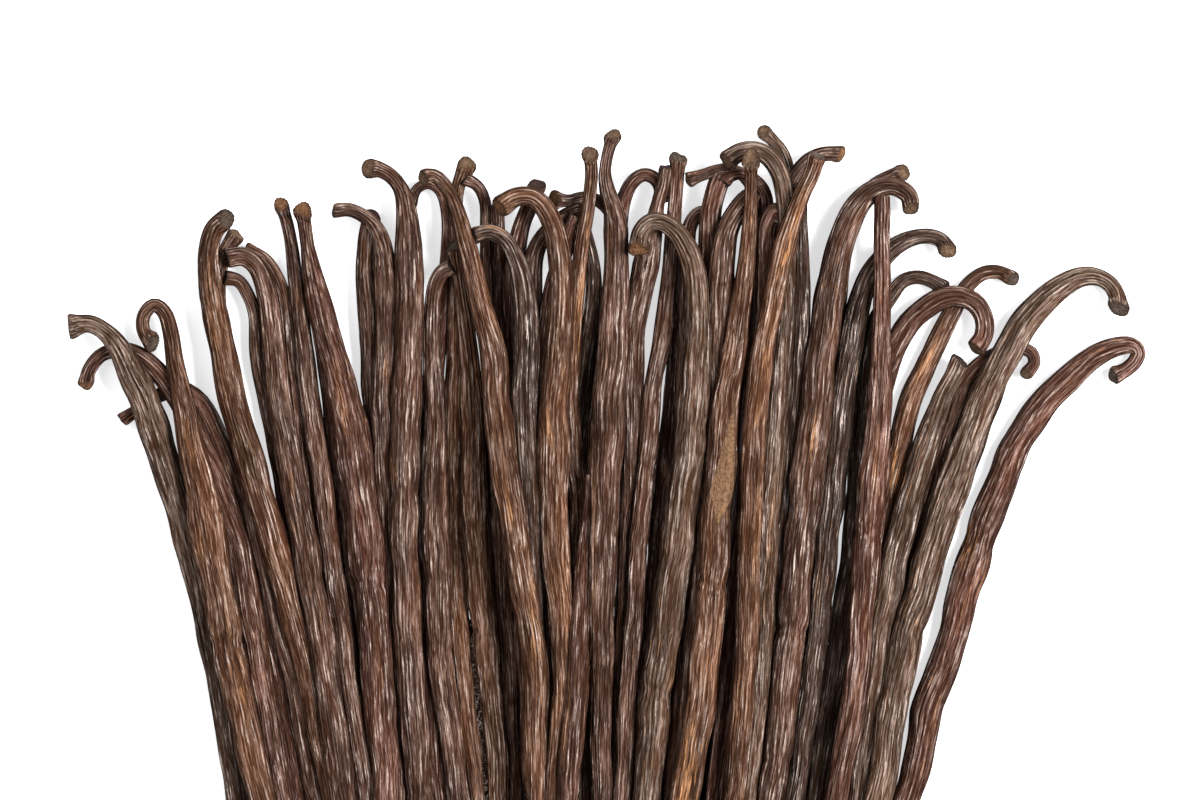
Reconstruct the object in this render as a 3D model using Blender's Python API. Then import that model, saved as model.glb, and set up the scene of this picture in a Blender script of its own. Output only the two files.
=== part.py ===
"""A bundle of vanilla pods lying fanned out on a table, modelled as one solid.

Every pod is a flattened tube that runs from its hooked stem end, past a thin
neck, down a long body to a tapered blossom end. The pods are laid down one
after another on a grid of heights, so that each rests on what is already
there. A flat core under the dense part of the fan carries them, and a Boolean
union turns the core and all the pods into one body with a flat underside.

The fan is drawn in millimetres: X runs across it, Y along the pods towards
the stem ends, and Z is up from the table. The finished solid is in metres,
with its origin at the middle of the underside of its box.
"""

import math

import bmesh
import bpy
import numpy as np
from mathutils import Matrix

# Driving dimensions, in millimetres
MILLIMETRE = 0.001
LEVELS = (0.0, -30.0, -60.0, -90.0, -119.0)
FOOT_SPREAD = 5.0
FOOT_PHASE = 2.4
HEAD_REACH = 0.6
HEAD_LENGTH = 2.6
NECK_LENGTH = 8.0
SHOULDER_AT = 22.0
BODY_AT = 60.0
LOW_FROM_END = 45.0
TIP_LENGTH = 22.0

# Parts of a full width
FLATNESS_NECK = 0.92
FLATNESS_BODY = 0.74
TIP_START_WIDTH = 0.92
TIP_END_WIDTH = 0.42

# How the pods settle: the grid, the span a pod bridges, how softly it bends,
# and how far it sinks into what it lies on
CELL = 1.0
TABLE_MARGIN = 10.0
CURVE_SAMPLES = 60
STATION_STEP = 0.8
CROSS_OFFSETS = 9
CROSS_REACH = 0.9
BRIDGE = 16.0
BEND = 7.0
LAST_BEND = 0.4 * BEND
SQUEEZE = 1.1
RELAX_ROUNDS = 12
CLEARANCE = 0.3
WELD = 0.002

# Facets of the solid
SIDES = 6
FACET_GAIN = 1.06
FEWEST_FACETS = 4
STRAIGHT_SPACING = 36.0
TURN_PER_FACET = math.radians(50.0)

# The flat core: its corners, anticlockwise, and its top
CORE_OUTLINE = (
    (-66.0, -106.0),
    (60.0, -106.0),
    (66.0, -96.0),
    (57.0, -84.0),
    (60.0, -48.0),
    (30.0, -38.0),
    (-20.0, -40.0),
    (-62.0, -52.0),
    (-79.0, -58.0),
)
CORE_TOP = 3.0

POD_COLOUR = (0.040, 0.021, 0.013, 1.0)
POD_ROUGHNESS = 0.42

# The pods from the lowest to the topmost. Each row holds the widths at the
# neck, the shoulder, the body and the low end; the width of the stem head; the
# hook as points from the head to the shoulder; and where the body crosses the
# LEVELS, as X.
PODS = (
    # The lowest layer
    ((2.4, 4.4, 6.0, 5.0), 2.6,
     ((-105.6, -4.4), (-102.0, -3.2), (-97.5, -0.6), (-92.5, 0.2), (-88.2, -2.2), (-84.8, -7.6),
      (-82.0, -15.0)),
     (None, -77.4, -71.5, -66.0, -60.5)),
    ((3.2, 3.8, 4.6, 4.6), 3.6,
     ((-81.0, 36.2), (-83.2, 33.0), (-84.8, 26.0), (-84.0, 14.0)),
     (-81.0, -75.6, -68.4, -62.6, -56.0)),
    ((2.8, 3.8, 4.8, 4.8), 3.0,
     ((-83.0, 26.8), (-80.4, 26.6), (-78.3, 23.6), (-76.7, 19.5), (-76.1, 10.0)),
     (-73.5, -66.6, -61.0, -56.0, -51.0)),
    ((2.8, 3.8, 4.8, 4.8), 3.0,
     ((-78.4, 33.2), (-74.4, 31.2), (-71.3, 26.2), (-69.8, 20.0), (-68.8, 9.0)),
     (-67.6, -64.0, -59.5, -54.5, -49.5)),
    ((4.2, 6.0, 5.2, 4.8), 3.6,
     ((-50.6, 40.8), (-51.7, 35.0), (-51.8, 28.0), (-50.6, 17.0)),
     (-50.2, -49.2, -48.0, -46.2, -43.5)),
    ((2.2, 3.4, 5.0, 4.6), 2.8,
     ((-42.0, 44.0), (-40.5, 47.0), (-38.0, 48.0), (-35.5, 46.4), (-34.0, 42.0), (-33.4, 35.0),
      (-32.8, 18.0)),
     (-36.0, -38.2, -37.4, -35.4, -33.0)),
    ((2.9, 3.4, 4.8, 4.6), 4.4,
     ((-29.8, 51.8), (-31.3, 48.2), (-32.0, 43.0), (-31.0, 32.0), (-29.8, 16.0)),
     (-30.4, -31.2, -30.6, -27.4, -24.8)),
    ((2.5, 3.2, 4.8, 4.6), 2.8,
     ((-29.9, 49.2), (-27.2, 47.8), (-25.6, 44.3), (-25.2, 38.0), (-23.8, 20.0)),
     (-23.4, -22.6, -20.6, -19.4, -18.2)),
    ((3.0, 3.8, 4.6, 4.4), 3.2,
     ((-22.8, 42.6), (-22.6, 37.0), (-22.0, 26.0), (-21.0, 12.0)),
     (-19.6, -17.6, -16.2, -14.6, -12.0)),
    ((3.0, 3.5, 4.8, 4.4), 3.4,
     ((-14.1, 47.6), (-16.0, 43.2), (-18.4, 38.6), (-19.1, 32.0), (-18.6, 14.0)),
     (-17.4, -15.2, -13.4, -12.4, -11.0)),
    ((2.9, 4.2, 4.8, 4.4), 3.2,
     ((-4.2, 41.9), (-7.2, 41.2), (-10.2, 39.4), (-12.8, 36.8), (-14.5, 33.6), (-15.3, 29.6),
      (-15.4, 12.0)),
     (-15.0, -13.3, -10.7, -9.6, -8.0)),
    ((3.2, 4.0, 5.0, 4.4), 3.4,
     ((-6.8, 40.2), (-8.6, 37.4), (-10.4, 33.0), (-11.8, 26.0), (-12.2, 12.0)),
     (-12.4, -12.0, -10.8, -11.0, -10.4)),
    ((2.6, 3.4, 5.0, 4.4), 4.2,
     ((-9.7, 44.4), (-6.8, 44.2), (-4.0, 44.7), (-1.0, 44.1), (1.3, 41.8), (2.2, 36.0), (0.8, 18.0)),
     (-0.8, -1.8, -2.2, -3.2, -4.0)),
    ((2.4, 3.4, 5.0, 4.6), 3.8,
     ((13.7, 44.8), (13.3, 47.4), (12.0, 49.2), (9.8, 50.0), (7.4, 48.6), (5.4, 44.8), (4.2, 37.0),
      (4.8, 17.0)),
     (5.8, 6.2, 5.2, 4.0, 3.5)),
    ((2.9, 6.0, 4.0, 4.4), 2.8,
     ((14.5, 51.0), (14.0, 47.4), (12.8, 43.4), (11.2, 37.5), (9.8, 29.0), (8.3, 16.0)),
     (7.4, 6.0, 5.0, 4.0, 3.0)),
    ((3.0, 3.6, 4.6, 4.6), 3.2,
     ((18.0, 47.0), (18.3, 40.0), (17.8, 29.0), (17.1, 15.0)),
     (16.0, 13.2, 10.2, 7.6, 5.8)),
    ((3.2, 5.0, 4.8, 4.6), 3.4,
     ((24.6, 41.0), (22.3, 41.5), (20.3, 39.4), (19.5, 36.0), (19.6, 29.0), (19.8, 16.0)),
     (19.2, 17.0, 14.0, 11.2, 9.5)),
    ((4.4, 5.6, 5.0, 4.6), 4.4,
     ((27.1, 50.4), (25.7, 46.4), (24.6, 41.6), (24.4, 33.0), (24.6, 17.0)),
     (24.0, 22.0, 19.0, 15.8, 13.0)),
    ((2.5, 3.0, 4.8, 4.6), 3.0,
     ((19.9, 49.0), (23.0, 50.0), (27.3, 51.2), (30.6, 50.6), (33.6, 47.4), (35.3, 41.0), (34.2, 18.0)),
     (32.6, 30.8, 28.6, 25.6, 22.5)),
    ((2.5, 3.0, 4.6, 4.4), 2.8,
     ((27.7, 48.3), (29.0, 49.6), (31.2, 50.1), (33.6, 49.2), (35.8, 46.6), (36.8, 41.0), (35.8, 19.0)),
     (34.0, 31.6, 28.4, 25.0, 21.5)),
    ((2.7, 3.0, 4.8, 4.6), 3.2,
     ((36.7, 59.3), (38.7, 57.3), (40.5, 55.0), (41.7, 51.4), (42.3, 43.0), (42.3, 20.0)),
     (41.5, 39.6, 37.0, 33.4, 29.5)),
    ((3.2, 3.6, 4.8, 4.6), 3.6,
     ((53.2, 54.6), (50.0, 54.8), (46.8, 53.5), (44.0, 50.8), (42.0, 47.0), (40.5, 41.0), (39.0, 20.0)),
     (38.0, 36.0, 33.2, 29.8, 26.5)),
    ((4.6, 5.0, 4.8, 4.6), 4.6,
     ((40.8, 40.6), (38.8, 41.4), (37.2, 39.0), (36.8, 30.0), (37.0, 16.0)),
     (36.2, 34.6, 31.6, 28.0, 24.5)),
    ((3.4, 4.6, 4.8, 4.6), 3.8,
     ((44.4, 47.0), (44.5, 41.0), (44.9, 32.0), (44.6, 19.0)),
     (43.0, 40.8, 37.6, 34.4, 31.0)),
    ((3.2, 3.4, 5.0, 4.6), 3.8,
     ((66.9, 50.6), (64.4, 49.5), (61.2, 47.8), (57.8, 44.2), (55.2, 38.0), (52.4, 19.0)),
     (50.4, 47.4, 44.2, 39.8, 35.5)),
    ((3.0, 3.5, 4.5, 4.6), 3.4,
     ((76.0, 24.9), (73.9, 26.3), (70.7, 27.3), (67.3, 26.4), (64.6, 23.0), (60.4, 16.0)),
     (58.0, 54.5, 51.6, 47.2, 42.3)),
    ((2.8, 4.0, 5.0, 4.8), 3.0,
     ((94.9, 6.2), (96.4, 8.2), (95.9, 10.4), (93.2, 11.5), (88.6, 10.4), (84.4, 7.8), (81.4, 4.4)),
     (79.8, 70.9, 66.5, 62.4, 55.0)),
    ((3.1, 4.4, 5.4, 4.8), 3.4,
     ((91.6, 27.2), (88.5, 28.6), (85.3, 28.2), (82.0, 25.8), (79.4, 21.8), (75.4, 14.0), (71.5, 6.0)),
     (69.0, 62.8, 59.0, 54.5, 48.0)),
    ((4.1, 5.0, 5.6, 5.0), 4.5,
     ((84.0, 11.8), (85.7, 14.4), (85.8, 18.0), (83.8, 21.4), (80.3, 22.9), (76.2, 22.9), (72.0, 20.9),
      (68.2, 17.3), (64.7, 9.0)),
     (63.0, 60.6, 57.2, 52.5, 46.5)),
    # The middle layer
    ((3.0, 4.0, 5.2, 5.0), 3.0,
     ((-62.4, 17.0), (-61.4, 9.0)),
     (-59.9, -56.6, -52.8, -50.2, -47.2)),
    ((2.7, 3.8, 5.0, 4.6), 3.4,
     ((-70.5, 42.9), (-69.5, 39.4), (-68.6, 35.0), (-67.6, 27.0), (-66.0, 14.0)),
     (-64.3, -60.2, -56.0, -51.5, -48.0)),
    ((3.0, 5.2, 5.4, 5.0), 3.2,
     ((-58.5, 42.0), (-55.6, 42.2), (-52.4, 40.8), (-49.8, 38.2), (-48.2, 34.0), (-47.3, 18.0)),
     (-48.0, -46.9, -46.0, -44.8, -42.0)),
    ((2.8, 4.2, 6.6, 5.0), 3.4,
     ((-32.2, 33.4), (-31.4, 28.0), (-29.9, 17.0)),
     (-28.3, -27.5, -24.6, -22.1, -20.8)),
    ((3.4, 5.6, 6.2, 4.8), 3.6,
     ((-27.4, 36.4), (-24.5, 37.2), (-21.4, 35.8), (-18.8, 31.6), (-16.9, 25.0), (-16.3, 10.0)),
     (-16.6, -15.2, -14.4, -13.2, -12.0)),
    ((2.8, 3.4, 4.0, 4.6), 4.0,
     ((-2.2, 53.9), (-1.9, 50.0), (-2.6, 43.0), (-4.0, 35.0), (-5.4, 22.0), (-6.3, 9.0)),
     (-6.6, -4.4, -4.6, -7.2, -8.5)),
    ((3.0, 4.0, 4.2, 4.2), 3.0,
     ((-2.2, 37.0), (-0.9, 31.0), (-1.2, 23.0), (-2.9, 11.0)),
     (-4.1, -6.0, -7.8, -8.5, -9.0)),
    ((3.0, 3.5, 4.3, 4.2), 3.6,
     ((17.3, 53.3), (17.0, 48.4), (16.6, 43.2), (15.4, 33.0), (13.6, 18.0)),
     (11.7, 8.9, 6.6, 4.8, 3.8)),
    ((4.6, 6.2, 5.2, 4.6), 4.0,
     ((33.4, 45.4), (30.6, 42.0), (28.4, 38.0), (27.2, 32.0), (26.4, 16.0)),
     (25.6, 23.2, 20.4, 17.8, 15.5)),
    ((4.0, 4.2, 5.0, 4.8), 4.2,
     ((28.3, 53.2), (31.3, 55.0), (34.5, 55.2), (37.3, 53.8), (39.6, 50.6), (41.0, 45.0), (41.0, 25.0)),
     (39.4, 37.0, 35.4, 32.2, 28.0)),
    ((3.3, 5.0, 6.0, 4.8), 3.8,
     ((77.0, 33.6), (75.8, 35.4), (73.0, 36.4), (69.5, 36.0), (66.0, 34.4), (62.6, 31.4), (59.6, 27.0),
      (57.2, 20.0), (55.6, 11.0)),
     (53.8, 50.4, 47.2, 42.9, 37.5)),
    ((2.8, 5.4, 7.8, 7.4), 3.4,
     ((114.8, 5.2), (117.3, 6.6), (119.4, 8.5), (120.1, 10.5), (118.6, 12.0), (115.0, 12.0),
      (109.5, 10.0), (103.5, 5.0)),
     (98.9, 84.7, 75.6, 68.2, 60.8)),
    ((4.4, 5.4, 6.3, 5.0), 4.4,
     ((79.8, 8.2), (78.6, 5.5)),
     (76.0, 66.8, 60.3, 56.0, 50.0)),
    # The top layer
    ((3.0, 4.4, 5.4, 6.2), 3.4,
     ((-114.0, 3.9), (-113.3, 6.8), (-110.6, 10.0), (-106.4, 11.1), (-102.4, 10.0), (-98.4, 6.6),
      (-95.2, 2.6), (-91.6, -4.0), (-88.0, -11.0)),
     (None, -80.2, -74.6, -68.8, -62.0)),
    ((4.4, 5.6, 6.4, 5.0), 4.4,
     ((-83.4, 39.8), (-85.4, 38.0), (-86.8, 33.5), (-86.6, 27.0), (-84.3, 14.0)),
     (-81.4, -72.8, -65.1, -59.3, -54.5)),
    ((3.6, 4.6, 5.8, 6.0), 3.8,
     ((-82.4, 31.6), (-79.3, 32.2), (-76.4, 30.2), (-74.3, 25.0), (-72.5, 12.0)),
     (-71.1, -65.8, -60.8, -56.7, -53.5)),
    ((3.8, 6.2, 5.8, 5.4), 4.8,
     ((-117.2, 16.3), (-113.2, 16.9), (-109.4, 14.8), (-106.6, 11.3), (-103.8, 5.8)),
     (-101.3, -91.9, -85.0, -80.1, -74.8)),
    ((3.4, 5.0, 7.4, 6.6), 3.9,
     ((-100.0, 13.2), (-101.4, 15.6), (-101.2, 18.8), (-99.0, 21.0), (-96.8, 19.2), (-95.7, 15.0),
      (-94.3, 8.0)),
     (-92.5, -86.7, -81.4, -74.8, -68.5)),
    ((3.0, 6.0, 7.8, 6.4), 3.8,
     ((-65.8, 41.8), (-65.4, 38.0), (-64.2, 30.0), (-60.9, 14.0)),
     (-57.2, -52.1, -49.4, -47.2, -44.8)),
    ((3.0, 5.6, 5.9, 6.2), 3.4,
     ((-51.3, 51.4), (-49.0, 51.2), (-46.2, 49.5), (-44.1, 46.6), (-42.9, 43.0), (-42.1, 28.0),
      (-42.4, 11.0)),
     (-43.0, -43.7, -42.0, -39.8, -37.3)),
    ((3.3, 4.3, 6.4, 5.2), 3.4,
     ((-33.2, 29.4), (-35.0, 28.3), (-36.6, 25.3), (-37.0, 20.0), (-36.9, 11.0)),
     (-36.3, -36.1, -34.9, -31.2, -28.6)),
    ((3.0, 4.4, 6.4, 5.4), 3.4,
     ((-38.7, 49.2), (-36.8, 49.6), (-34.8, 48.0), (-32.6, 44.4), (-30.0, 36.0), (-26.4, 21.0),
      (-23.4, 9.0)),
     (-22.9, -18.8, -14.4, -14.0, -13.2)),
    ((4.1, 5.0, 6.8, 5.0), 4.8,
     ((-21.8, 43.0), (-18.4, 45.0), (-15.0, 44.9), (-12.2, 42.4), (-10.2, 38.0), (-8.9, 31.0),
      (-8.8, 16.0)),
     (-10.1, -9.9, -7.8, -10.0, -11.5)),
    ((3.0, 3.8, 4.6, 4.6), 3.0,
     ((-2.4, -17.0), (-2.7, -23.0)),
     (None, -3.3, -5.0, -7.4, -8.5)),
    ((2.6, 4.2, 7.4, 4.8), 3.6,
     ((2.9, 58.2), (1.7, 54.5), (1.1, 50.0), (1.6, 46.5), (3.5, 41.0), (4.3, 32.0), (3.2, 14.0)),
     (2.0, 0.7, 0.2, 0.2, 0.0)),
    ((3.8, 5.0, 7.4, 6.4), 4.2,
     ((7.7, 35.6), (8.7, 37.9), (10.8, 39.4), (13.0, 39.5), (16.0, 38.1), (18.6, 34.8), (20.6, 29.8),
      (21.6, 19.0)),
     (20.8, 17.5, 13.2, 10.2, 7.5)),
    ((2.8, 3.8, 6.5, 6.6), 4.2,
     ((33.3, 52.9), (33.4, 47.0), (32.9, 36.0), (31.4, 22.5), (29.6, 10.0)),
     (27.9, 25.5, 23.0, 18.6, 14.0)),
    ((3.6, 4.8, 5.2, 5.0), 4.0,
     ((47.9, 53.4), (46.8, 50.0), (44.4, 45.0), (41.3, 36.0), (38.0, 21.0)),
     (34.7, 33.2, 32.2, 29.4, 25.0)),
    ((3.4, 5.7, 7.2, 6.0), 4.0,
     ((69.0, 43.0), (68.6, 45.2), (66.7, 46.8), (64.0, 47.5), (60.5, 46.7), (57.2, 44.0), (54.2, 38.8),
      (52.2, 29.0), (49.6, 14.0)),
     (48.0, 44.5, 41.4, 37.8, 32.5)),
    ((4.0, 4.1, 6.6, 5.6), 4.0,
     ((62.9, 45.0), (62.6, 37.0), (63.1, 24.0), (63.3, 11.0)),
     (63.1, 59.6, 57.0, 52.1, 46.0)),
    ((3.6, 6.0, 7.4, 6.4), 4.4,
     ((115.2, 20.7), (114.9, 23.2), (113.2, 25.8), (110.0, 27.4), (106.5, 27.2), (102.7, 25.3),
      (98.6, 21.9), (94.4, 17.3), (89.6, 9.2)),
     (85.5, 74.8, 66.7, 60.0, 52.0)),
)


def clear_scene():
    """Take away every object that the session started with."""
    for obj in list(bpy.data.objects):
        bpy.data.objects.remove(obj, do_unlink=True)


def smooth_path(points, step):
    """Evenly spaced points on a smooth curve through the given ones."""
    points = np.asarray(points, dtype=float)
    chords = np.sqrt(np.hypot(*np.diff(points, axis=0).T))
    knots = np.concatenate(([0.0], np.cumsum(chords)))
    slopes = np.gradient(points, knots, axis=0)
    fine = np.linspace(0.0, knots[-1], CURVE_SAMPLES * len(points))
    seg = np.clip(np.searchsorted(knots, fine, side="right") - 1, 0, len(points) - 2)
    span = (knots[seg + 1] - knots[seg])[:, None]
    t = ((fine - knots[seg]) / span[:, 0])[:, None]
    curve = (
        (2 * t**3 - 3 * t**2 + 1) * points[seg]
        + (t**3 - 2 * t**2 + t) * span * slopes[seg]
        + (3 * t**2 - 2 * t**3) * points[seg + 1]
        + (t**3 - t**2) * span * slopes[seg + 1]
    )
    lengths = np.concatenate(([0.0], np.cumsum(np.hypot(*np.diff(curve, axis=0).T))))
    count = int(round(lengths[-1] / step))
    along = np.linspace(0.0, lengths[-1], count + 1)
    return along, np.column_stack([np.interp(along, lengths, curve[:, k]) for k in (0, 1)])


def pod_route(number, hook, crossings):
    """Points from the face of the stem head to the blossom end.

    The head stands out past the first hook point, and the blossom ends are
    staggered, as those of pods of unlike length are.
    """
    first, second = np.asarray(hook[0]), np.asarray(hook[1])
    face = first + (first - second) * HEAD_REACH / np.linalg.norm(first - second)
    body = [(x, y) for x, y in zip(crossings, LEVELS) if x is not None]
    foot = (body[-1][0], body[-1][1] + FOOT_SPREAD * math.sin(FOOT_PHASE * number))
    return [face, *hook[1:], *body[:-1], foot]


def width_profile(along, widths, head):
    """Full width of a pod at each distance from its stem head."""
    neck, shoulder, body, low = widths
    total = along[-1]
    marks = (0.0, NECK_LENGTH, SHOULDER_AT, BODY_AT, total - LOW_FROM_END, total - TIP_LENGTH, total)
    values = (neck, neck, shoulder, body, low, low * TIP_START_WIDTH, low * TIP_END_WIDTH)
    width = np.interp(along, marks, values)
    head_rise = np.clip(1.0 - along / HEAD_LENGTH, 0.0, 1.0)
    return width + (head - neck) * head_rise


def height_profile(along, width):
    """Full thickness of a pod: nearly round at the neck, flatter on the body."""
    blend = np.clip((along - NECK_LENGTH) / (BODY_AT - NECK_LENGTH), 0.0, 1.0)
    return width * (FLATNESS_NECK + (FLATNESS_BODY - FLATNESS_NECK) * blend)


def side_directions(path):
    """Unit vectors that point to the left of a path in its plane."""
    tangent = np.gradient(path, axis=0)
    tangent /= np.linalg.norm(tangent, axis=1)[:, None]
    return np.column_stack([-tangent[:, 1], tangent[:, 0]])


def running(values, radius, pick):
    """Largest or smallest value within a radius of each entry."""
    padded = np.pad(values, radius, mode="edge")
    windows = np.lib.stride_tricks.sliding_window_view(padded, 2 * radius + 1)
    return pick(windows, axis=1)


def smoothed(values, sigma):
    """Values after a Gaussian blur along the pod."""
    radius = int(3 * sigma)
    kernel = np.exp(-0.5 * (np.arange(-radius, radius + 1) / sigma) ** 2)
    kernel /= kernel.sum()
    return np.convolve(np.pad(values, radius, mode="edge"), kernel, mode="valid")


class Table:
    """Grid of the heights that the pods already laid down reach."""

    def __init__(self, low_corner, high_corner):
        self.low = np.asarray(low_corner, dtype=float)
        size = np.ceil((np.asarray(high_corner) - self.low) / CELL).astype(int) + 1
        self.height = np.zeros(size)

    def cells(self, points):
        """Grid indices of the points."""
        index = np.rint((points - self.low) / CELL).astype(int)
        return index[..., 0], index[..., 1]

    def lay(self, path, width, thickness):
        """Lay a pod on the pile and return the height of its centre line."""
        offsets = np.linspace(-CROSS_REACH, CROSS_REACH, CROSS_OFFSETS)
        bulge = 0.5 * thickness[:, None] * np.sqrt(1.0 - offsets**2)
        spots = path[:, None, :] + (
            side_directions(path)[:, None, :] * (0.5 * width)[:, None, None] * offsets[:, None]
        )
        contact = (self.height[self.cells(spots)] + bulge).max(axis=1)
        floor = 0.5 * thickness
        held = np.maximum(contact - SQUEEZE, floor)
        bridge = int(BRIDGE / STATION_STEP)
        centre = running(running(held, bridge, np.max), bridge, np.min)
        for _ in range(RELAX_ROUNDS):
            centre = np.maximum(smoothed(centre, BEND / STATION_STEP), held)
        centre = np.maximum(smoothed(centre, LAST_BEND / STATION_STEP), floor)
        np.maximum.at(self.height, self.cells(spots), centre[:, None] + bulge)
        return centre


def facet_stations(path, along):
    """Distances at which a tube takes a ring: few on straight runs, more in hooks."""
    tangent = np.gradient(path, axis=0)
    heading = np.unwrap(np.arctan2(tangent[:, 1], tangent[:, 0]))
    need = np.abs(np.diff(heading)) / TURN_PER_FACET + np.diff(along) / STRAIGHT_SPACING
    need = np.concatenate(([0.0], np.cumsum(need)))
    count = max(int(math.ceil(need[-1])), FEWEST_FACETS)
    inner = np.interp(np.linspace(0.0, need[-1], count + 1), need, along)
    inner = inner[(inner > 2.0 * HEAD_LENGTH) & (inner < along[-1] - TIP_LENGTH)]
    ends = np.array([0.0, HEAD_LENGTH, along[-1] - 0.5 * TIP_LENGTH, along[-1]])
    return np.sort(np.concatenate([ends, inner]))


def add_tube(mesh, along, path, centre, width, thickness):
    """Add one closed, faceted pod to the mesh."""
    sides = side_directions(path)
    turn = 2.0 * math.pi / SIDES
    rings = []
    for s in facet_stations(path, along):
        x, y, z, left_x, left_y, full_width, full_height = (
            np.interp(s, along, values)
            for values in (path[:, 0], path[:, 1], centre, sides[:, 0], sides[:, 1], width, thickness)
        )
        ring = []
        for k in range(SIDES):
            across = 0.5 * FACET_GAIN * full_width * math.cos(k * turn)
            up = 0.5 * full_height * math.sin(k * turn) / math.sin(turn)
            spot = (x + left_x * across, y + left_y * across, z + CLEARANCE + up)
            ring.append(mesh.verts.new([c * MILLIMETRE for c in spot]))
        rings.append(ring)
    for here, there in zip(rings, rings[1:]):
        for k in range(SIDES):
            after = (k + 1) % SIDES
            mesh.faces.new((here[k], there[k], there[after], here[after]))
    mesh.faces.new(rings[0])
    mesh.faces.new(rings[-1][::-1])


def new_object(name, mesh):
    """Turn a bmesh into an object of the scene with its faces pointing out."""
    bmesh.ops.recalc_face_normals(mesh, faces=mesh.faces)
    data = bpy.data.meshes.new(name)
    mesh.to_mesh(data)
    mesh.free()
    obj = bpy.data.objects.new(name, data)
    bpy.context.collection.objects.link(obj)
    return obj


def build_pods():
    """All the pods, each as a closed tube of its own."""
    routes = [
        smooth_path(pod_route(number, hook, crossings), STATION_STEP)
        for number, (_, _, hook, crossings) in enumerate(PODS)
    ]
    every = np.concatenate([path for _, path in routes])
    table = Table(every.min(axis=0) - TABLE_MARGIN, every.max(axis=0) + TABLE_MARGIN)
    pods = []
    for (widths, head, _, _), (along, path) in zip(PODS, routes):
        width = width_profile(along, widths, head)
        thickness = height_profile(along, width)
        centre = table.lay(path, width, thickness)
        mesh = bmesh.new()
        add_tube(mesh, along, path, centre, width, thickness)
        pods.append(new_object("pod", mesh))
    return pods


def build_core():
    """The flat slab under the dense part of the fan."""
    mesh = bmesh.new()
    floor = [mesh.verts.new((x * MILLIMETRE, y * MILLIMETRE, 0.0)) for x, y in CORE_OUTLINE]
    face = mesh.faces.new(floor)
    raised = bmesh.ops.extrude_face_region(mesh, geom=[face])
    top = [item for item in raised["geom"] if isinstance(item, bmesh.types.BMVert)]
    bmesh.ops.translate(mesh, verts=top, vec=(0.0, 0.0, CORE_TOP * MILLIMETRE))
    return new_object("pod_bundle", mesh)


def unite(core, pods):
    """Join the pods to the core, one after another, with Boolean unions."""
    for pod in pods:
        union = core.modifiers.new("unite", "BOOLEAN")
        union.operation = "UNION"
        union.object = pod
    graph = bpy.context.evaluated_depsgraph_get()
    joined = bpy.data.meshes.new_from_object(core.evaluated_get(graph))
    core.modifiers.clear()
    core.data = joined
    for pod in pods:
        bpy.data.objects.remove(pod, do_unlink=True)


def shells_of(mesh):
    """Lists of the faces that hang together by shared edges."""
    for face in mesh.faces:
        face.tag = False
    shells = []
    for first in mesh.faces:
        if first.tag:
            continue
        first.tag = True
        rim, shell = [first], []
        while rim:
            face = rim.pop()
            shell.append(face)
            for other in {near for edge in face.edges for near in edge.link_faces if not near.tag}:
                other.tag = True
                rim.append(other)
        shells.append(shell)
    return shells


def keep_outer_skin(obj):
    """Remove the shells of the closed hollows that the union leaves between pods."""
    mesh = bmesh.new()
    mesh.from_mesh(obj.data)
    bmesh.ops.triangulate(mesh, faces=mesh.faces)
    bmesh.ops.remove_doubles(mesh, verts=mesh.verts, dist=WELD * MILLIMETRE)
    bmesh.ops.dissolve_degenerate(mesh, edges=mesh.edges, dist=WELD * MILLIMETRE)
    shells = shells_of(mesh)
    outer = max(shells, key=len)
    inner = [face for shell in shells if shell is not outer for face in shell]
    bmesh.ops.delete(mesh, geom=inner, context="FACES")
    mesh.to_mesh(obj.data)
    mesh.free()


def centre_on_origin(obj):
    """Move the mesh so that its box stands centred on the origin."""
    corners = np.array([vert.co for vert in obj.data.vertices])
    low, high = corners.min(axis=0), corners.max(axis=0)
    middle = 0.5 * (low + high)
    obj.data.transform(Matrix.Translation((-middle[0], -middle[1], -low[2])))


def pod_material():
    """Dark, oily, leathery pod skin."""
    material = bpy.data.materials.new("pod_skin")
    material.use_nodes = True
    skin = material.node_tree.nodes["Principled BSDF"]
    skin.inputs["Base Color"].default_value = POD_COLOUR
    skin.inputs["Roughness"].default_value = POD_ROUGHNESS
    skin.inputs["Metallic"].default_value = 0.0
    return material


def main():
    """Build the bundle."""
    clear_scene()
    core = build_core()
    unite(core, build_pods())
    keep_outer_skin(core)
    centre_on_origin(core)
    core.data.materials.clear()
    core.data.materials.append(pod_material())


main()
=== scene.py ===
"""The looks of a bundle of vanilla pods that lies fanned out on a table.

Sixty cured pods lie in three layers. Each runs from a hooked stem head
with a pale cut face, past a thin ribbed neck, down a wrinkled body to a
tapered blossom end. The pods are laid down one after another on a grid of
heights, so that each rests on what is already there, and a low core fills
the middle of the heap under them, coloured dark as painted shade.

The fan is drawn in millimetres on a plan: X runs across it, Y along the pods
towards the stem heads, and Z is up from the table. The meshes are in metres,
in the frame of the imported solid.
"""

import logging
import math
from collections.abc import Callable, Sequence
from dataclasses import dataclass, field
from enum import Enum

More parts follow.
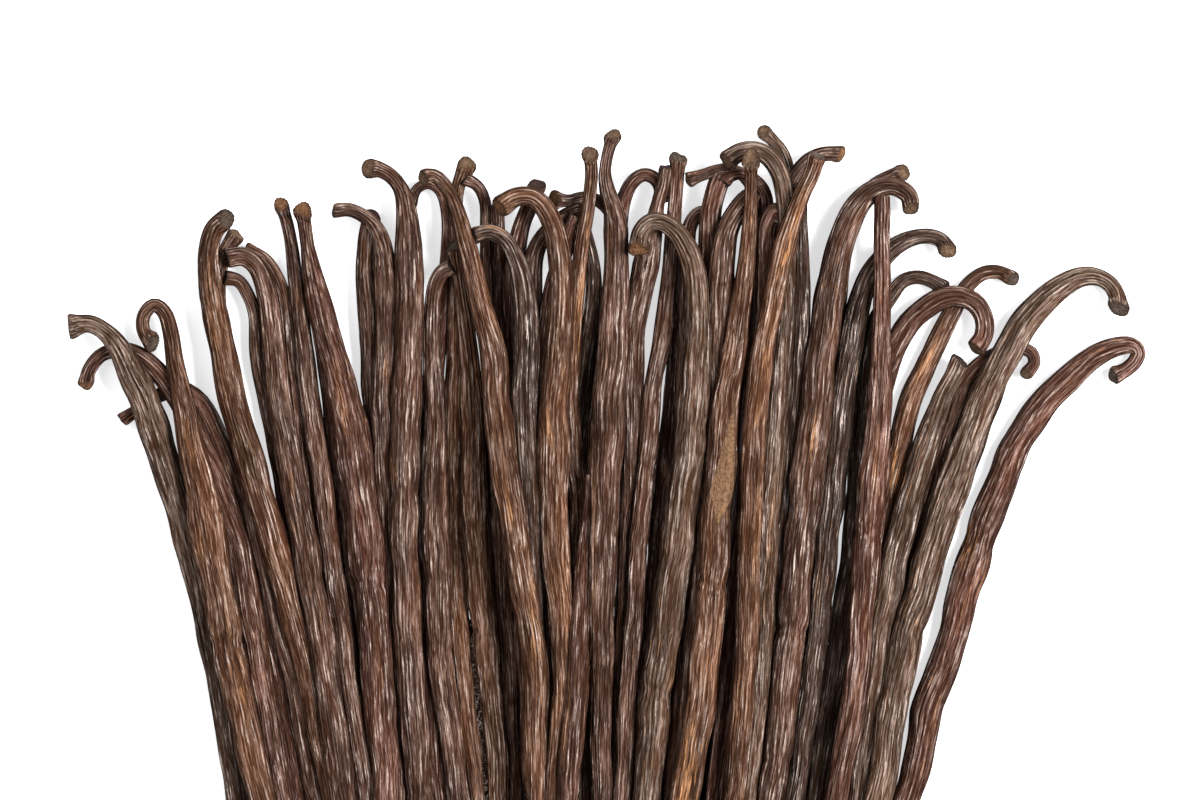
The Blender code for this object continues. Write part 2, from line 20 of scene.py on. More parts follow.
import bpy
import numpy as np
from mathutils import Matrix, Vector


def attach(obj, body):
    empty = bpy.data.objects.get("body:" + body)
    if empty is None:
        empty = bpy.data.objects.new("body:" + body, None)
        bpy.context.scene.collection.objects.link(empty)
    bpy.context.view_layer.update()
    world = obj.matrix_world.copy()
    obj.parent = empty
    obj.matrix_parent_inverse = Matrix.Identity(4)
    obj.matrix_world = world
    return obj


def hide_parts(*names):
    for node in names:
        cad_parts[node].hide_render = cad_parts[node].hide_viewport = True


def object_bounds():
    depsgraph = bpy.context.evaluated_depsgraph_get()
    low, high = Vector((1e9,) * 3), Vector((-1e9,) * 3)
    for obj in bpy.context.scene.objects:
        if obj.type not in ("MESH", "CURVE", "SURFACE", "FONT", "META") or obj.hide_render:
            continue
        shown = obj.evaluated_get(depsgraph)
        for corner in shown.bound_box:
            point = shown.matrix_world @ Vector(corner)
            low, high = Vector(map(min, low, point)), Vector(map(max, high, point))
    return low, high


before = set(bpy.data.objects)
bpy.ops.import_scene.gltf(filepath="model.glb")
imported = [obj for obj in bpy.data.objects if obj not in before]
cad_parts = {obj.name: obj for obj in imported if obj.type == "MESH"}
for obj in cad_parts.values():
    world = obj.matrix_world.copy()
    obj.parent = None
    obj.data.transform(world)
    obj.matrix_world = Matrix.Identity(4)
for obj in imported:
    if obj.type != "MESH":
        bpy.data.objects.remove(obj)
CAD_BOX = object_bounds()

MILLIMETRE = 0.001
TURN = 2.0 * math.pi
SEED = 4107
# Distance between the samples of a centre line, in millimetres
STEP = 0.8
LOG = logging.getLogger("vanilla_pods")

Array = np.ndarray
Point = tuple[float, float]
Range = tuple[float, float]
WHOLE = (0.0, 1.0)


class Tone(Enum):
    """Colour of the flesh half way between a crest and a valley of the skin."""

    CHOCOLATE = "#64493F"
    UMBER = "#6E5242"
    RUSSET = "#674B41"
    TAUPE = "#6A584D"
    SLATE = "#50423B"
    COCOA = "#644D43"


class Cut(Enum):
    """Colour of the dried cut through the stem."""

    TAN = "#6E5644"
    ORANGE = "#7A563C"
    GREY = "#584A40"
    DARK = "#40302A"


class Layer(Enum):
    """How finely a pod is meshed: points round it, and millimetres between rings."""

    LOWEST = (44, 2.0)
    MIDDLE = (68, 1.6)
    TOP = (88, 1.35)


class Stain(Enum):
    """What a mark on the skin is, and over how many millimetres its edge fades."""

    RUST = 0.9
    CORK = 0.14


@dataclass(frozen=True)
class Mark:
    """A spindle-shaped mark on the upper side of a pod, drawn on the plan.

    Attributes:
        stain: What it is made of.
        start: Its upper end.
        end: Its lower end.
        width: Its full width at the widest place.
        strength: How much it covers, from 0 to 1.
    """

    stain: Stain
    start: Point
    end: Point
    width: float
    strength: float = 1.0


@dataclass(frozen=True)
class Crease:
    """A knuckle across a pod, or a swelling where the strength is negative.

    Attributes:
        level: Where it is, as Y on the plan.
        strength: How deep it is: 1 is a strong knuckle.
        shift: How far the pod kinks to +X there.
    """

    level: float
    strength: float
    shift: float = 0.0


@dataclass(frozen=True)
class PodPlan:
    """One pod as drawn on the plan.

    Attributes:
        widths: Full width at the neck, the shoulder, the body and the low end.
        head: Full width of the stem head.
        hook: Points from the head to the shoulder.
        body: X where the body crosses each of the LEVELS; None above its head.
        tone: Colour of its flesh.
        cut: Colour of its cut face.
        face: Degrees by which the cut face turns up.
        flare: Length over which the neck widens into the head.
        creases: Knuckles and swellings.
        marks: Rusty streaks and corky scars.
    """

    widths: tuple[float, float, float, float]
    head: float
    hook: Sequence[Point]
    body: Sequence[float | None]
    tone: Tone = Tone.CHOCOLATE
    cut: Cut = Cut.TAN
    face: float = 22.0
    flare: float = 1.6
    creases: Sequence[Crease] = ()
    marks: Sequence[Mark] = ()


LEVELS = (0.0, -30.0, -60.0, -90.0, -119.0)


def rust(x0: float, y0: float, x1: float, y1: float, width: float, strength: float = 1.0) -> Mark:
    """A rusty streak from one point to the other."""
    return Mark(Stain.RUST, (x0, y0), (x1, y1), width, strength)


PODS = {
    # The bodies of these lie hidden under the others
    Layer.LOWEST: (
        PodPlan(
            (2.8, 4.8, 6.0, 5.0), 2.8, ((-105.8, -4.2), (-102.0, -1.8), (-97.5, 1.2), (-92.9, 2.2),
             (-89.2, -0.5), (-85.8, -6.9), (-82.6, -15.4)),
            (None, -77.4, -71.5, -66.0, -60.5), Tone.CHOCOLATE, Cut.DARK, 10.0,
        ),
        PodPlan(
            (3.2, 3.8, 4.6, 4.6), 3.6, ((-81.0, 36.2), (-83.2, 33.0), (-84.8, 26.0), (-84.0, 14.0)),
            (-81.0, -75.6, -68.4, -62.6, -56.0), Tone.COCOA, Cut.TAN, 30.0,
        ),
        PodPlan(
            (2.8, 3.8, 4.8, 4.8), 3.0, ((-82.6, 26.9), (-80.3, 26.4), (-78.1, 23.2), (-76.6, 19.0),
             (-76.0, 10.0)),
            (-73.8, -67.9, -61.0, -56.0, -51.0), Tone.COCOA, Cut.DARK, 10.0,
        ),
        PodPlan(
            (2.8, 3.8, 4.8, 4.8), 3.0, ((-78.4, 33.2), (-74.4, 31.2), (-71.3, 26.2), (-69.8, 20.0),
             (-68.8, 9.0)),
            (-67.6, -64.0, -59.5, -54.5, -49.5), Tone.COCOA, Cut.DARK, 10.0,
        ),
        PodPlan(
            (4.2, 6.0, 5.2, 4.8), 3.6, ((-50.6, 40.8), (-51.7, 35.0), (-51.8, 28.0), (-50.6, 17.0)),
            (-50.2, -49.2, -48.0, -46.2, -43.5), Tone.COCOA, Cut.DARK, 15.0,
        ),
        PodPlan(
            (2.2, 3.4, 5.0, 4.6), 2.8, ((-42.0, 44.0), (-40.5, 47.0), (-38.0, 48.0), (-35.5, 46.4),
             (-34.0, 42.0), (-33.6, 35.0), (-35.2, 18.0)),
            (-37.7, -38.9, -37.9, -35.6, -33.0), Tone.CHOCOLATE, Cut.DARK, 15.0,
        ),
        PodPlan(
            (2.9, 3.4, 4.8, 4.6), 4.0, ((-29.8, 51.8), (-31.3, 48.2), (-32.0, 43.0), (-31.6, 32.0),
             (-32.0, 16.0)),
            (-32.3, -32.4, -30.4, -26.8, -23.8), Tone.UMBER, Cut.TAN, 50.0, flare=2.6,
        ),
        PodPlan(
            (2.5, 3.2, 4.8, 4.6), 2.8, ((-29.6, 48.8), (-27.2, 47.5), (-25.6, 44.3), (-25.2, 38.0),
             (-24.9, 20.0)),
            (-24.3, -22.6, -20.6, -19.4, -18.2), Tone.COCOA, Cut.DARK, 15.0,
        ),
        PodPlan(
            (3.0, 3.8, 4.6, 4.4), 3.2, ((-22.8, 42.6), (-22.6, 37.0), (-22.0, 26.0), (-21.0, 12.0)),
            (-19.6, -17.6, -16.2, -14.6, -12.0), Tone.CHOCOLATE, Cut.DARK, 15.0,
        ),
        PodPlan(
            (3.6, 4.6, 4.8, 4.4), 4.0, ((-14.1, 47.2), (-15.6, 43.2), (-17.4, 38.6), (-18.6, 32.0),
             (-18.4, 14.0)),
            (-17.4, -15.2, -13.4, -12.4, -11.0), Tone.CHOCOLATE, Cut.DARK, 30.0,
        ),
        PodPlan(
            (3.2, 5.0, 4.9, 4.4), 3.3, ((-4.2, 41.9), (-7.2, 41.1), (-10.0, 39.1), (-12.4, 36.5),
             (-14.1, 33.4), (-15.0, 29.6), (-15.4, 12.0)),
            (-15.0, -13.3, -10.7, -9.6, -8.0), Tone.COCOA, Cut.ORANGE, 25.0,
        ),
        PodPlan(
            (3.6, 4.6, 5.0, 4.4), 3.6, ((-5.4, 40.6), (-6.6, 37.4), (-7.8, 33.0), (-10.0, 26.0),
             (-12.0, 12.0)),
            (-12.4, -12.0, -10.8, -11.0, -10.4), Tone.CHOCOLATE, Cut.DARK, 10.0,
        ),
        PodPlan(
            (2.6, 3.4, 5.0, 4.4), 4.2, ((-9.7, 44.4), (-6.8, 44.2), (-4.0, 44.9), (-1.6, 44.7), (1.0, 43.2),
             (3.0, 40.4), (3.8, 36.0), (2.4, 18.0)),
            (-0.8, -1.8, -2.2, -3.2, -4.0), Tone.COCOA, Cut.ORANGE, 25.0,
        ),
        PodPlan(
            (2.9, 3.6, 5.0, 4.6), 3.8, ((13.7, 44.8), (13.3, 47.4), (12.0, 49.2), (9.8, 50.0), (7.4, 48.6),
             (5.4, 44.8), (4.2, 37.0), (4.8, 17.0)),
            (5.8, 6.2, 5.2, 4.0, 3.5), Tone.CHOCOLATE, Cut.TAN, 15.0,
        ),
        PodPlan(
            (2.9, 6.0, 4.0, 4.4), 2.8, ((14.5, 51.0), (14.0, 47.4), (12.8, 43.4), (11.7, 37.5),
             (10.0, 29.0), (7.5, 16.0)),
            (7.2, 6.4, 5.2, 4.0, 3.0), Tone.COCOA, Cut.DARK, 30.0,
        ),
        PodPlan(
            (3.0, 3.6, 4.6, 4.6), 3.2, ((17.6, 37.0), (17.8, 33.0), (17.6, 27.0), (17.1, 15.0)),
            (16.0, 13.2, 10.2, 7.6, 5.8), Tone.CHOCOLATE, Cut.DARK, 15.0,
        ),
        PodPlan(
            (3.2, 5.0, 4.8, 4.6), 3.4, ((24.6, 41.0), (22.3, 41.5), (20.3, 39.4), (19.5, 36.0),
             (19.6, 29.0), (19.8, 16.0)),
            (19.2, 17.0, 14.0, 11.2, 9.5), Tone.COCOA, Cut.DARK, 15.0,
        ),
        PodPlan(
            (4.4, 5.6, 5.0, 4.6), 4.4, ((27.1, 50.4), (25.7, 46.4), (24.6, 41.6), (24.4, 33.0),
             (24.6, 17.0)),
            (24.0, 22.0, 19.0, 15.8, 13.0), Tone.CHOCOLATE, Cut.TAN, 35.0,
        ),
        PodPlan(
            (2.5, 3.0, 4.8, 4.6), 3.0, ((19.9, 49.0), (23.0, 50.0), (27.3, 51.2), (30.6, 50.6),
             (33.6, 47.4), (35.3, 41.0), (34.2, 18.0)),
            (32.6, 30.8, 28.6, 25.6, 22.5), Tone.COCOA, Cut.TAN, 20.0,
        ),
        PodPlan(
            (2.5, 3.0, 4.6, 4.4), 2.8, ((27.7, 48.3), (29.0, 49.6), (31.2, 50.1), (33.8, 49.2),
             (36.3, 46.6), (37.3, 41.0), (35.8, 19.0)),
            (34.0, 31.6, 28.4, 25.0, 21.5), Tone.CHOCOLATE, Cut.DARK, 15.0,
        ),
        PodPlan(
            (2.7, 3.0, 4.8, 4.6), 3.2, ((36.7, 59.3), (38.7, 57.3), (40.5, 55.0), (41.7, 51.4),
             (42.3, 43.0), (42.3, 20.0)),
            (41.5, 39.6, 37.0, 33.4, 29.5), Tone.TAUPE, Cut.TAN, 45.0,
        ),
        PodPlan(
            (3.2, 3.6, 4.8, 4.6), 3.6, ((52.9, 54.4), (50.0, 54.6), (46.8, 53.5), (44.0, 50.8),
             (42.0, 47.0), (40.5, 41.0), (39.0, 20.0)),
            (38.0, 36.0, 33.2, 29.8, 26.5), Tone.COCOA, Cut.ORANGE, 20.0,
        ),
        PodPlan(
            (4.6, 5.0, 4.8, 4.6), 4.6, ((40.8, 40.6), (38.8, 41.4), (37.2, 39.0), (36.8, 30.0),
             (36.6, 16.0)),
            (36.2, 34.6, 31.6, 28.0, 24.5), Tone.CHOCOLATE, Cut.GREY, 40.0,
        ),
        PodPlan(
            (3.4, 4.6, 4.8, 4.6), 3.8, ((44.2, 47.0), (44.2, 41.0), (44.3, 32.0), (44.2, 19.0)),
            (43.0, 40.8, 37.6, 34.4, 31.0), Tone.SLATE, Cut.DARK, 20.0,
        ),
        PodPlan(
            (3.2, 3.4, 5.0, 4.6), 3.8, ((66.9, 50.6), (64.4, 49.5), (61.2, 47.8), (57.8, 44.2),
             (55.2, 38.0), (52.4, 19.0)),
            (50.4, 47.4, 44.2, 39.8, 35.5), Tone.COCOA, Cut.TAN, 45.0,
        ),
        PodPlan(
            (3.0, 3.5, 5.2, 5.2), 3.4, ((76.0, 24.9), (73.9, 26.3), (70.7, 27.3), (67.3, 26.4),
             (64.6, 23.0), (60.4, 16.0)),
            (58.4, 56.4, 52.3, 47.9, 43.0), Tone.SLATE, Cut.DARK, 20.0,
        ),
        PodPlan(
            (2.8, 4.0, 5.0, 4.8), 3.0, ((94.9, 6.2), (96.4, 8.2), (95.9, 10.4), (93.2, 11.5), (88.6, 10.4),
             (84.4, 7.8), (81.4, 4.4)),
            (79.8, 70.9, 66.5, 62.4, 55.0), Tone.COCOA, Cut.TAN, 40.0,
        ),
        PodPlan(
            (3.1, 4.4, 5.6, 4.8), 3.5, ((91.2, 27.0), (88.5, 28.4), (85.3, 28.2), (82.0, 25.8),
             (79.4, 21.8), (75.4, 14.0), (71.5, 6.0)),
            (69.0, 62.8, 59.0, 54.5, 48.0), Tone.UMBER, Cut.GREY, 30.0,
            marks=(rust(65.8, -9.0, 65.4, -22.0, 3.0), rust(75.0, 13.0, 70.0, 4.0, 1.6)),
        ),
        PodPlan(
            (4.1, 5.0, 5.6, 5.0), 4.5, ((83.6, 11.8), (85.1, 14.4), (85.2, 18.0), (83.4, 21.3),
             (80.3, 22.9), (76.2, 22.7), (72.3, 20.5), (68.4, 16.8), (64.1, 8.4)),
            (62.3, 60.4, 57.2, 52.5, 46.5), Tone.RUSSET, Cut.TAN, 30.0,
        ),
    ),
    Layer.MIDDLE: (
        PodPlan(
            (3.0, 4.0, 5.2, 5.0), 3.0, ((-62.4, 17.0), (-61.4, 9.0)),
            (-59.9, -56.6, -52.8, -50.2, -47.2), Tone.CHOCOLATE, Cut.DARK, 10.0,
        ),
        PodPlan(
            (2.7, 3.8, 5.0, 4.6), 3.4, ((-70.5, 42.9), (-69.5, 39.4), (-68.6, 35.0), (-67.6, 27.0),
             (-66.0, 14.0)),
            (-64.3, -60.2, -56.0, -51.5, -48.0), Tone.COCOA, Cut.ORANGE, 50.0,
        ),
        PodPlan(
            (3.0, 5.2, 5.4, 5.0), 3.2, ((-58.5, 42.0), (-55.6, 42.2), (-52.4, 40.8), (-49.8, 38.2),
             (-48.2, 34.0), (-47.3, 18.0)),
            (-48.0, -46.9, -46.0, -44.8, -42.0), Tone.COCOA, Cut.DARK, 20.0, flare=2.4,
        ),
        PodPlan(
            (2.8, 4.2, 6.6, 5.0), 3.4, ((-32.2, 33.4), (-31.4, 28.0), (-29.9, 17.0)),
            (-28.3, -27.5, -24.6, -22.1, -20.8), Tone.UMBER, Cut.GREY, 50.0,
            creases=(Crease(-27.0, 0.7), Crease(-62.0, 0.7)),
        ),
        PodPlan(
            (3.4, 5.6, 6.2, 4.8), 3.6, ((-27.4, 36.4), (-24.5, 37.2), (-21.4, 35.8), (-18.8, 31.6),
             (-16.9, 25.0), (-16.3, 10.0)),
            (-16.6, -15.2, -14.4, -13.2, -12.0), Tone.SLATE, Cut.DARK, 15.0,
        ),
        PodPlan(
            (3.0, 4.0, 4.2, 4.2), 3.0, ((-3.8, 38.4), (-2.6, 34.4), (-1.6, 30.0), (-1.4, 23.0),
             (-2.9, 11.0)),
            (-4.1, -6.0, -7.8, -8.5, -9.0), Tone.SLATE, Cut.DARK, 20.0,
            creases=(Crease(-22.0, 0.8),),
        ),
        PodPlan(
            (2.8, 3.4, 4.0, 4.6), 4.0, ((-2.2, 53.9), (-1.9, 50.0), (-2.6, 43.0), (-4.0, 35.0),
             (-5.4, 22.0), (-6.3, 9.0)),
            (-6.6, -4.4, -4.6, -7.2, -8.5), Tone.UMBER, Cut.TAN, 50.0, flare=1.1,
            marks=(rust(-2.4, 42.0, -5.4, 8.0, 1.8, 0.8),),
        ),
        PodPlan(
            (3.0, 3.5, 4.3, 4.2), 3.6, ((17.3, 53.3), (17.0, 48.4), (16.6, 43.2), (15.8, 33.0),
             (14.3, 18.0)),
            (11.6, 8.8, 6.6, 4.8, 3.8), Tone.COCOA, Cut.GREY, 35.0,
            creases=(Crease(-14.0, 0.7),),
        ),
        PodPlan(
            (4.6, 6.2, 5.2, 4.6), 4.0, ((33.4, 45.4), (30.6, 42.0), (28.4, 38.0), (27.2, 32.0),
             (26.4, 16.0)),
            (25.6, 23.2, 20.4, 17.8, 15.5), Tone.COCOA, Cut.DARK, 15.0,
        ),
        PodPlan(
            (4.0, 4.2, 5.0, 4.8), 4.2, ((28.3, 53.2), (31.3, 55.0), (34.5, 55.2), (37.3, 53.8),
             (39.6, 50.6), (41.0, 45.0), (41.0, 25.0)),
            (39.4, 37.0, 35.4, 32.2, 28.0), Tone.TAUPE, Cut.TAN, 15.0,
            creases=(Crease(-38.0, 0.4),),
            marks=(rust(38.6, -20.0, 36.2, -48.0, 1.0, 0.7),),
        ),
        PodPlan(
            (3.3, 5.0, 6.0, 4.8), 3.8, ((77.0, 33.6), (75.8, 35.4), (73.0, 36.4), (69.5, 36.0),
             (66.0, 34.4), (62.6, 31.4), (59.6, 27.0), (57.2, 20.0), (55.6, 11.0)),
            (53.8, 50.4, 47.2, 42.9, 37.5), Tone.SLATE, Cut.TAN, 50.0,
            creases=(Crease(-44.0, 0.4),),
        ),
        PodPlan(
            (3.2, 5.6, 7.2, 6.8), 3.7, ((114.5, 5.4), (116.9, 6.8), (118.8, 8.6), (119.5, 10.6),
             (118.1, 12.1), (114.8, 11.9), (109.7, 9.6), (104.0, 4.8), (98.8, -0.4), (92.3, -10.5)),
            (None, 84.7, 76.0, 67.5, 60.0), Tone.RUSSET, Cut.GREY, 30.0,
            creases=(Crease(-31.0, 0.5), Crease(-38.0, -0.6), Crease(-68.0, 0.3, -1.0)),
            marks=(rust(82.2, -26.0, 80.6, -38.0, 1.8), rust(76.0, -62.0, 71.0, -84.0, 0.9, 0.6)),
        ),
        PodPlan(
            (4.2, 5.8, 6.3, 5.0), 4.2, ((79.8, 8.2), (78.6, 5.5)),
            (75.8, 66.6, 61.0, 56.8, 50.6), Tone.TAUPE, Cut.DARK, 15.0,
        ),
    ),
    Layer.TOP: (
        PodPlan(
            (3.0, 4.4, 5.4, 6.2), 3.4, ((-114.0, 3.9), (-113.3, 6.8), (-110.6, 10.0), (-106.4, 11.1),
             (-102.4, 10.0), (-98.4, 6.6), (-95.2, 2.6), (-91.6, -4.0), (-88.0, -11.0)),
            (None, -81.0, -75.6, -69.8, -63.0), Tone.CHOCOLATE, Cut.ORANGE, 40.0,
            creases=(Crease(-53.0, 0.8),),
        ),
        PodPlan(
            (4.4, 5.6, 6.4, 5.0), 4.4, ((-83.4, 39.8), (-85.4, 38.0), (-86.8, 33.5), (-86.6, 27.0),
             (-84.3, 14.0)),
            (-81.4, -72.8, -65.1, -59.3, -54.5), Tone.UMBER, Cut.GREY, 50.0, flare=1.4,
            creases=(Crease(21.0, 0.6), Crease(-20.0, 0.3)),
            marks=(rust(-87.0, 22.0, -85.0, 10.0, 1.4, 0.6), rust(-86.4, 32.0, -86.6, 24.0, 1.2, 0.5)),
        ),
        PodPlan(
            (4.1, 5.0, 5.8, 6.0), 3.9, ((-82.4, 31.4), (-79.2, 31.8), (-76.3, 29.7), (-74.2, 24.6),
             (-72.4, 12.0)),
            (-71.1, -65.8, -60.8, -56.7, -53.5), Tone.COCOA, Cut.DARK, 10.0,
            creases=(Crease(-40.0, 0.4), Crease(-77.0, 0.8)),
        ),
        PodPlan(
            (3.8, 6.7, 5.9, 5.4), 5.5, ((-117.2, 16.3), (-113.2, 16.9), (-109.4, 14.8), (-106.6, 11.3),
             (-103.8, 5.8)),
            (-101.1, -91.9, -85.0, -80.1, -74.8), Tone.TAUPE, Cut.GREY, 12.0, flare=2.2,
            creases=(Crease(-6.0, -0.8),),
        ),
        PodPlan(
            (2.9, 3.8, 7.7, 6.6), 4.0, ((-99.6, 13.0), (-101.3, 15.4), (-101.2, 18.8), (-99.0, 21.1),
             (-96.7, 19.5), (-95.3, 15.2), (-94.3, 8.0)),
            (-92.5, -86.7, -81.4, -74.8, -68.5), Tone.UMBER, Cut.GREY, 45.0, flare=1.8,
            creases=(Crease(-20.0, 0.3), Crease(-54.0, 0.9)),
            marks=(rust(-92.0, -3.0, -90.0, -15.0, 1.6), rust(-89.0, -27.0, -88.0, -36.0, 1.2),
                   rust(-83.0, -48.0, -78.0, -72.0, 1.4, 0.8)),
        ),
        PodPlan(
            (3.0, 6.0, 8.2, 6.4), 4.0, ((-65.8, 41.6), (-65.4, 38.0), (-64.2, 30.0), (-60.5, 14.0)),
            (-56.7, -52.1, -49.4, -47.2, -44.8), Tone.RUSSET, Cut.ORANGE, 55.0,
            creases=(Crease(-11.0, -0.4), Crease(-41.0, 0.9)),
            marks=(rust(-58.6, 8.0, -56.2, -8.0, 1.2, 0.6), rust(-49.5, -50.0, -48.6, -66.0, 1.2, 0.5)),
        ),
        PodPlan(
            (3.2, 6.1, 6.3, 6.3), 3.8, ((-50.9, 51.3), (-48.9, 51.1), (-46.2, 49.5), (-44.1, 46.6),
             (-43.1, 43.0), (-42.3, 28.0), (-42.4, 11.0)),
            (-42.8, -43.4, -42.0, -39.8, -37.3), Tone.COCOA, Cut.TAN, 40.0, flare=1.8,
            creases=(Crease(-15.0, -0.8), Crease(-21.0, 0.5), Crease(-86.0, 0.7)),
            marks=(rust(-46.2, -11.5, -45.8, -18.5, 1.8),),
        ),
        PodPlan(
            (3.3, 4.3, 6.4, 5.2), 3.4, ((-33.2, 29.4), (-35.0, 28.3), (-36.6, 25.3), (-37.2, 20.0),
             (-37.2, 11.0)),
            (-36.7, -36.5, -35.1, -31.2, -28.6), Tone.COCOA, Cut.DARK, 15.0,
            creases=(Crease(-55.0, 0.8),),
        ),
        PodPlan(
            (3.0, 4.4, 6.4, 5.4), 3.4, ((-38.7, 49.2), (-36.8, 49.6), (-34.8, 48.0), (-32.6, 44.4),
             (-30.0, 36.0), (-26.4, 21.0), (-23.4, 9.0)),
            (-22.9, -18.8, -14.4, -14.0, -13.2), Tone.UMBER, Cut.TAN, 40.0,
            creases=(Crease(-48.0, 0.4),),
            marks=(rust(-20.4, -19.0, -19.6, -29.0, 1.8), rust(-17.0, -60.0, -17.0, -88.0, 1.2, 0.8),
                   rust(-15.2, -38.0, -14.6, -60.0, 1.4, 0.8)),
        ),
        PodPlan(
            (4.1, 5.0, 6.8, 5.0), 4.8, ((-21.8, 43.0), (-18.4, 45.0), (-15.0, 44.9), (-12.2, 42.4),
             (-10.2, 38.0), (-8.9, 31.0), (-8.8, 16.0)),
            (-10.1, -9.9, -7.8, -10.0, -11.5), Tone.UMBER, Cut.ORANGE, 35.0, flare=3.0,
            creases=(Crease(-64.0, 0.8),),
            marks=(rust(-11.8, -1.5, -11.2, -11.0, 1.6, 0.8), rust(-8.8, -30.0, -7.4, -52.0, 1.0, 0.6)),
        ),
        PodPlan(
            (1.4, 3.8, 4.6, 4.6), 1.4, ((-2.4, -17.0), (-2.7, -23.0)),
            (None, -3.3, -5.0, -7.4, -8.5), Tone.CHOCOLATE, Cut.DARK, 15.0,
            marks=(rust(-6.4, -48.0, -8.4, -80.0, 1.2, 0.6),),
        ),
        PodPlan(
            (2.6, 5.2, 7.4, 4.8), 3.6, ((2.9, 58.2), (1.7, 54.5), (1.1, 50.0), (1.6, 46.5), (3.2, 41.0),
             (3.6, 32.0), (3.0, 14.0)),
            (2.0, 0.7, 0.2, 0.2, 0.0), Tone.COCOA, Cut.TAN, 35.0,
            creases=(Crease(-59.0, 0.7),),
            marks=(rust(-1.2, -16.0, -1.6, -46.0, 1.0, 0.7),),
        ),
        PodPlan(
            (3.9, 5.0, 7.4, 6.4), 4.5, ((8.5, 33.9), (9.0, 37.0), (10.9, 39.2), (13.2, 39.5), (16.0, 38.1),
             (18.6, 34.8), (20.6, 29.8), (21.6, 19.0)),
            (20.8, 17.5, 13.2, 10.2, 7.5), Tone.TAUPE, Cut.ORANGE, 52.0,
            creases=(Crease(-12.5, 0.5), Crease(-46.0, -0.5), Crease(-65.0, 0.8)),
            marks=(rust(17.4, -54.0, 15.4, -64.0, 1.4, 0.7),),
        ),
        PodPlan(
            (2.8, 3.8, 6.5, 6.6), 4.2, ((33.3, 52.9), (33.4, 47.0), (32.9, 36.0), (31.4, 22.5),
             (29.6, 10.0)),
            (27.9, 25.5, 23.0, 18.6, 14.0), Tone.UMBER, Cut.TAN, 60.0,
            creases=(Crease(-40.0, 1.2),),
            marks=(Mark(Stain.CORK, (29.6, -1.6), (26.1, -27.4), 5.2),
                   rust(20.2, -65.0, 18.6, -108.0, 5.4, 0.9)),
        ),
        PodPlan(
            (3.6, 4.8, 5.2, 5.0), 4.0, ((47.9, 53.4), (46.8, 50.0), (44.4, 45.0), (41.3, 36.0),
             (38.0, 21.0)),
            (34.7, 33.2, 32.2, 29.4, 25.0), Tone.UMBER, Cut.GREY, 20.0,
            creases=(Crease(-30.0, 0.3),),
            marks=(rust(45.6, 47.0, 39.0, 26.0, 2.2), rust(38.6, 22.0, 34.4, -6.0, 1.6, 0.9),
                   rust(36.0, -12.0, 33.6, -40.0, 1.0, 0.6)),
        ),
        PodPlan(
            (4.0, 6.0, 7.2, 6.0), 4.1, ((69.0, 43.0), (68.6, 45.2), (66.7, 46.8), (64.0, 47.5),
             (60.5, 46.4), (57.4, 43.5), (54.5, 38.0), (52.0, 29.0), (49.4, 14.0)),
            (48.0, 44.5, 41.4, 37.8, 32.5), Tone.COCOA, Cut.TAN, 30.0,
            creases=(Crease(-12.0, 0.6), Crease(-51.0, 1.1), Crease(-80.0, 0.8)),
            marks=(rust(48.0, -2.0, 46.6, -14.0, 1.4, 0.8),),
        ),
        PodPlan(
            (3.5, 3.8, 6.4, 5.6), 3.3, ((62.7, 44.6), (62.5, 37.0), (62.6, 24.0), (62.3, 11.0)),
            (62.0, 59.2, 57.0, 52.1, 46.0), Tone.RUSSET, Cut.GREY, 10.0,
            creases=(Crease(-29.0, 0.9),),
            marks=(rust(61.4, 3.0, 61.0, -22.0, 1.2, 0.7),),
        ),
        PodPlan(
            (3.6, 6.0, 7.4, 6.4), 4.4, ((114.8, 21.0), (114.6, 23.3), (113.1, 25.8), (110.0, 27.4),
             (106.5, 27.2), (102.7, 25.3), (98.5, 22.0), (94.3, 17.4), (89.6, 9.2)),
            (85.3, 74.9, 66.6, 61.2, 53.2), Tone.TAUPE, Cut.GREY, 30.0,
            creases=(Crease(-50.0, 0.9, -0.7),),
            marks=(rust(88.0, 4.0, 82.0, -10.0, 0.9, 0.3),),
        ),
    ),
}


@dataclass(frozen=True)
class PodForm:
    """The long shape that all the pods share, in millimetres or as parts of a width."""

    foot_spread: float = 5.0
    foot_phase: float = 2.4
    head_reach: float = 0.6
    knob: float = 0.18
    bevel: float = 0.35
    neck_length: float = 8.0
    shoulder_at: float = 22.0
    body_at: float = 60.0
    low_from_end: float = 45.0
    tip_length: float = 22.0
    tip_start_width: float = 0.92
    tip_end_width: float = 0.42
    flatness_neck: float = 0.92
    flatness_body: float = 0.74
    wobble: float = 0.20
    wobble_from: float = 24.0
    wobble_pitch: Range = (14.0, 38.0)
    unevenness: float = 0.042
    uneven_pitch: Range = (9.0, 34.0)
    blunt_length: float = 1.6
    blunt_least: float = 0.04
    nose: float = 0.25


@dataclass(frozen=True)
class KnuckleForm:
    """Knuckles across a pod, per unit of strength: a pinch between two swollen sides, with folds."""

    kink_length: float = 5.0
    pinch: float = 0.07
    pinch_length: float = 1.6
    side: float = 0.045
    side_at: float = 4.5
    side_length: float = 3.0
    swelling: float = 0.16
    swelling_length: float = 4.0
    faint_levels: Range = (-112.0, 0.0)
    faint_strength: Range = (0.15, 0.45)
    faint_count: tuple[int, int] = (1, 4)
    below_head: float = 8.0
    fold: float = 0.32
    fold_sway: float = 1.1
    fold_length: float = 0.8
    next_fold: float = 0.5
    next_fold_at: float = 2.2
    next_fold_length: float = 0.7
    faces: Range = (0.25, 0.75)
    faced: float = 0.45
    swirl: float = 0.16
    swirl_length: float = 3.5
    close_rings_from: float = 0.4


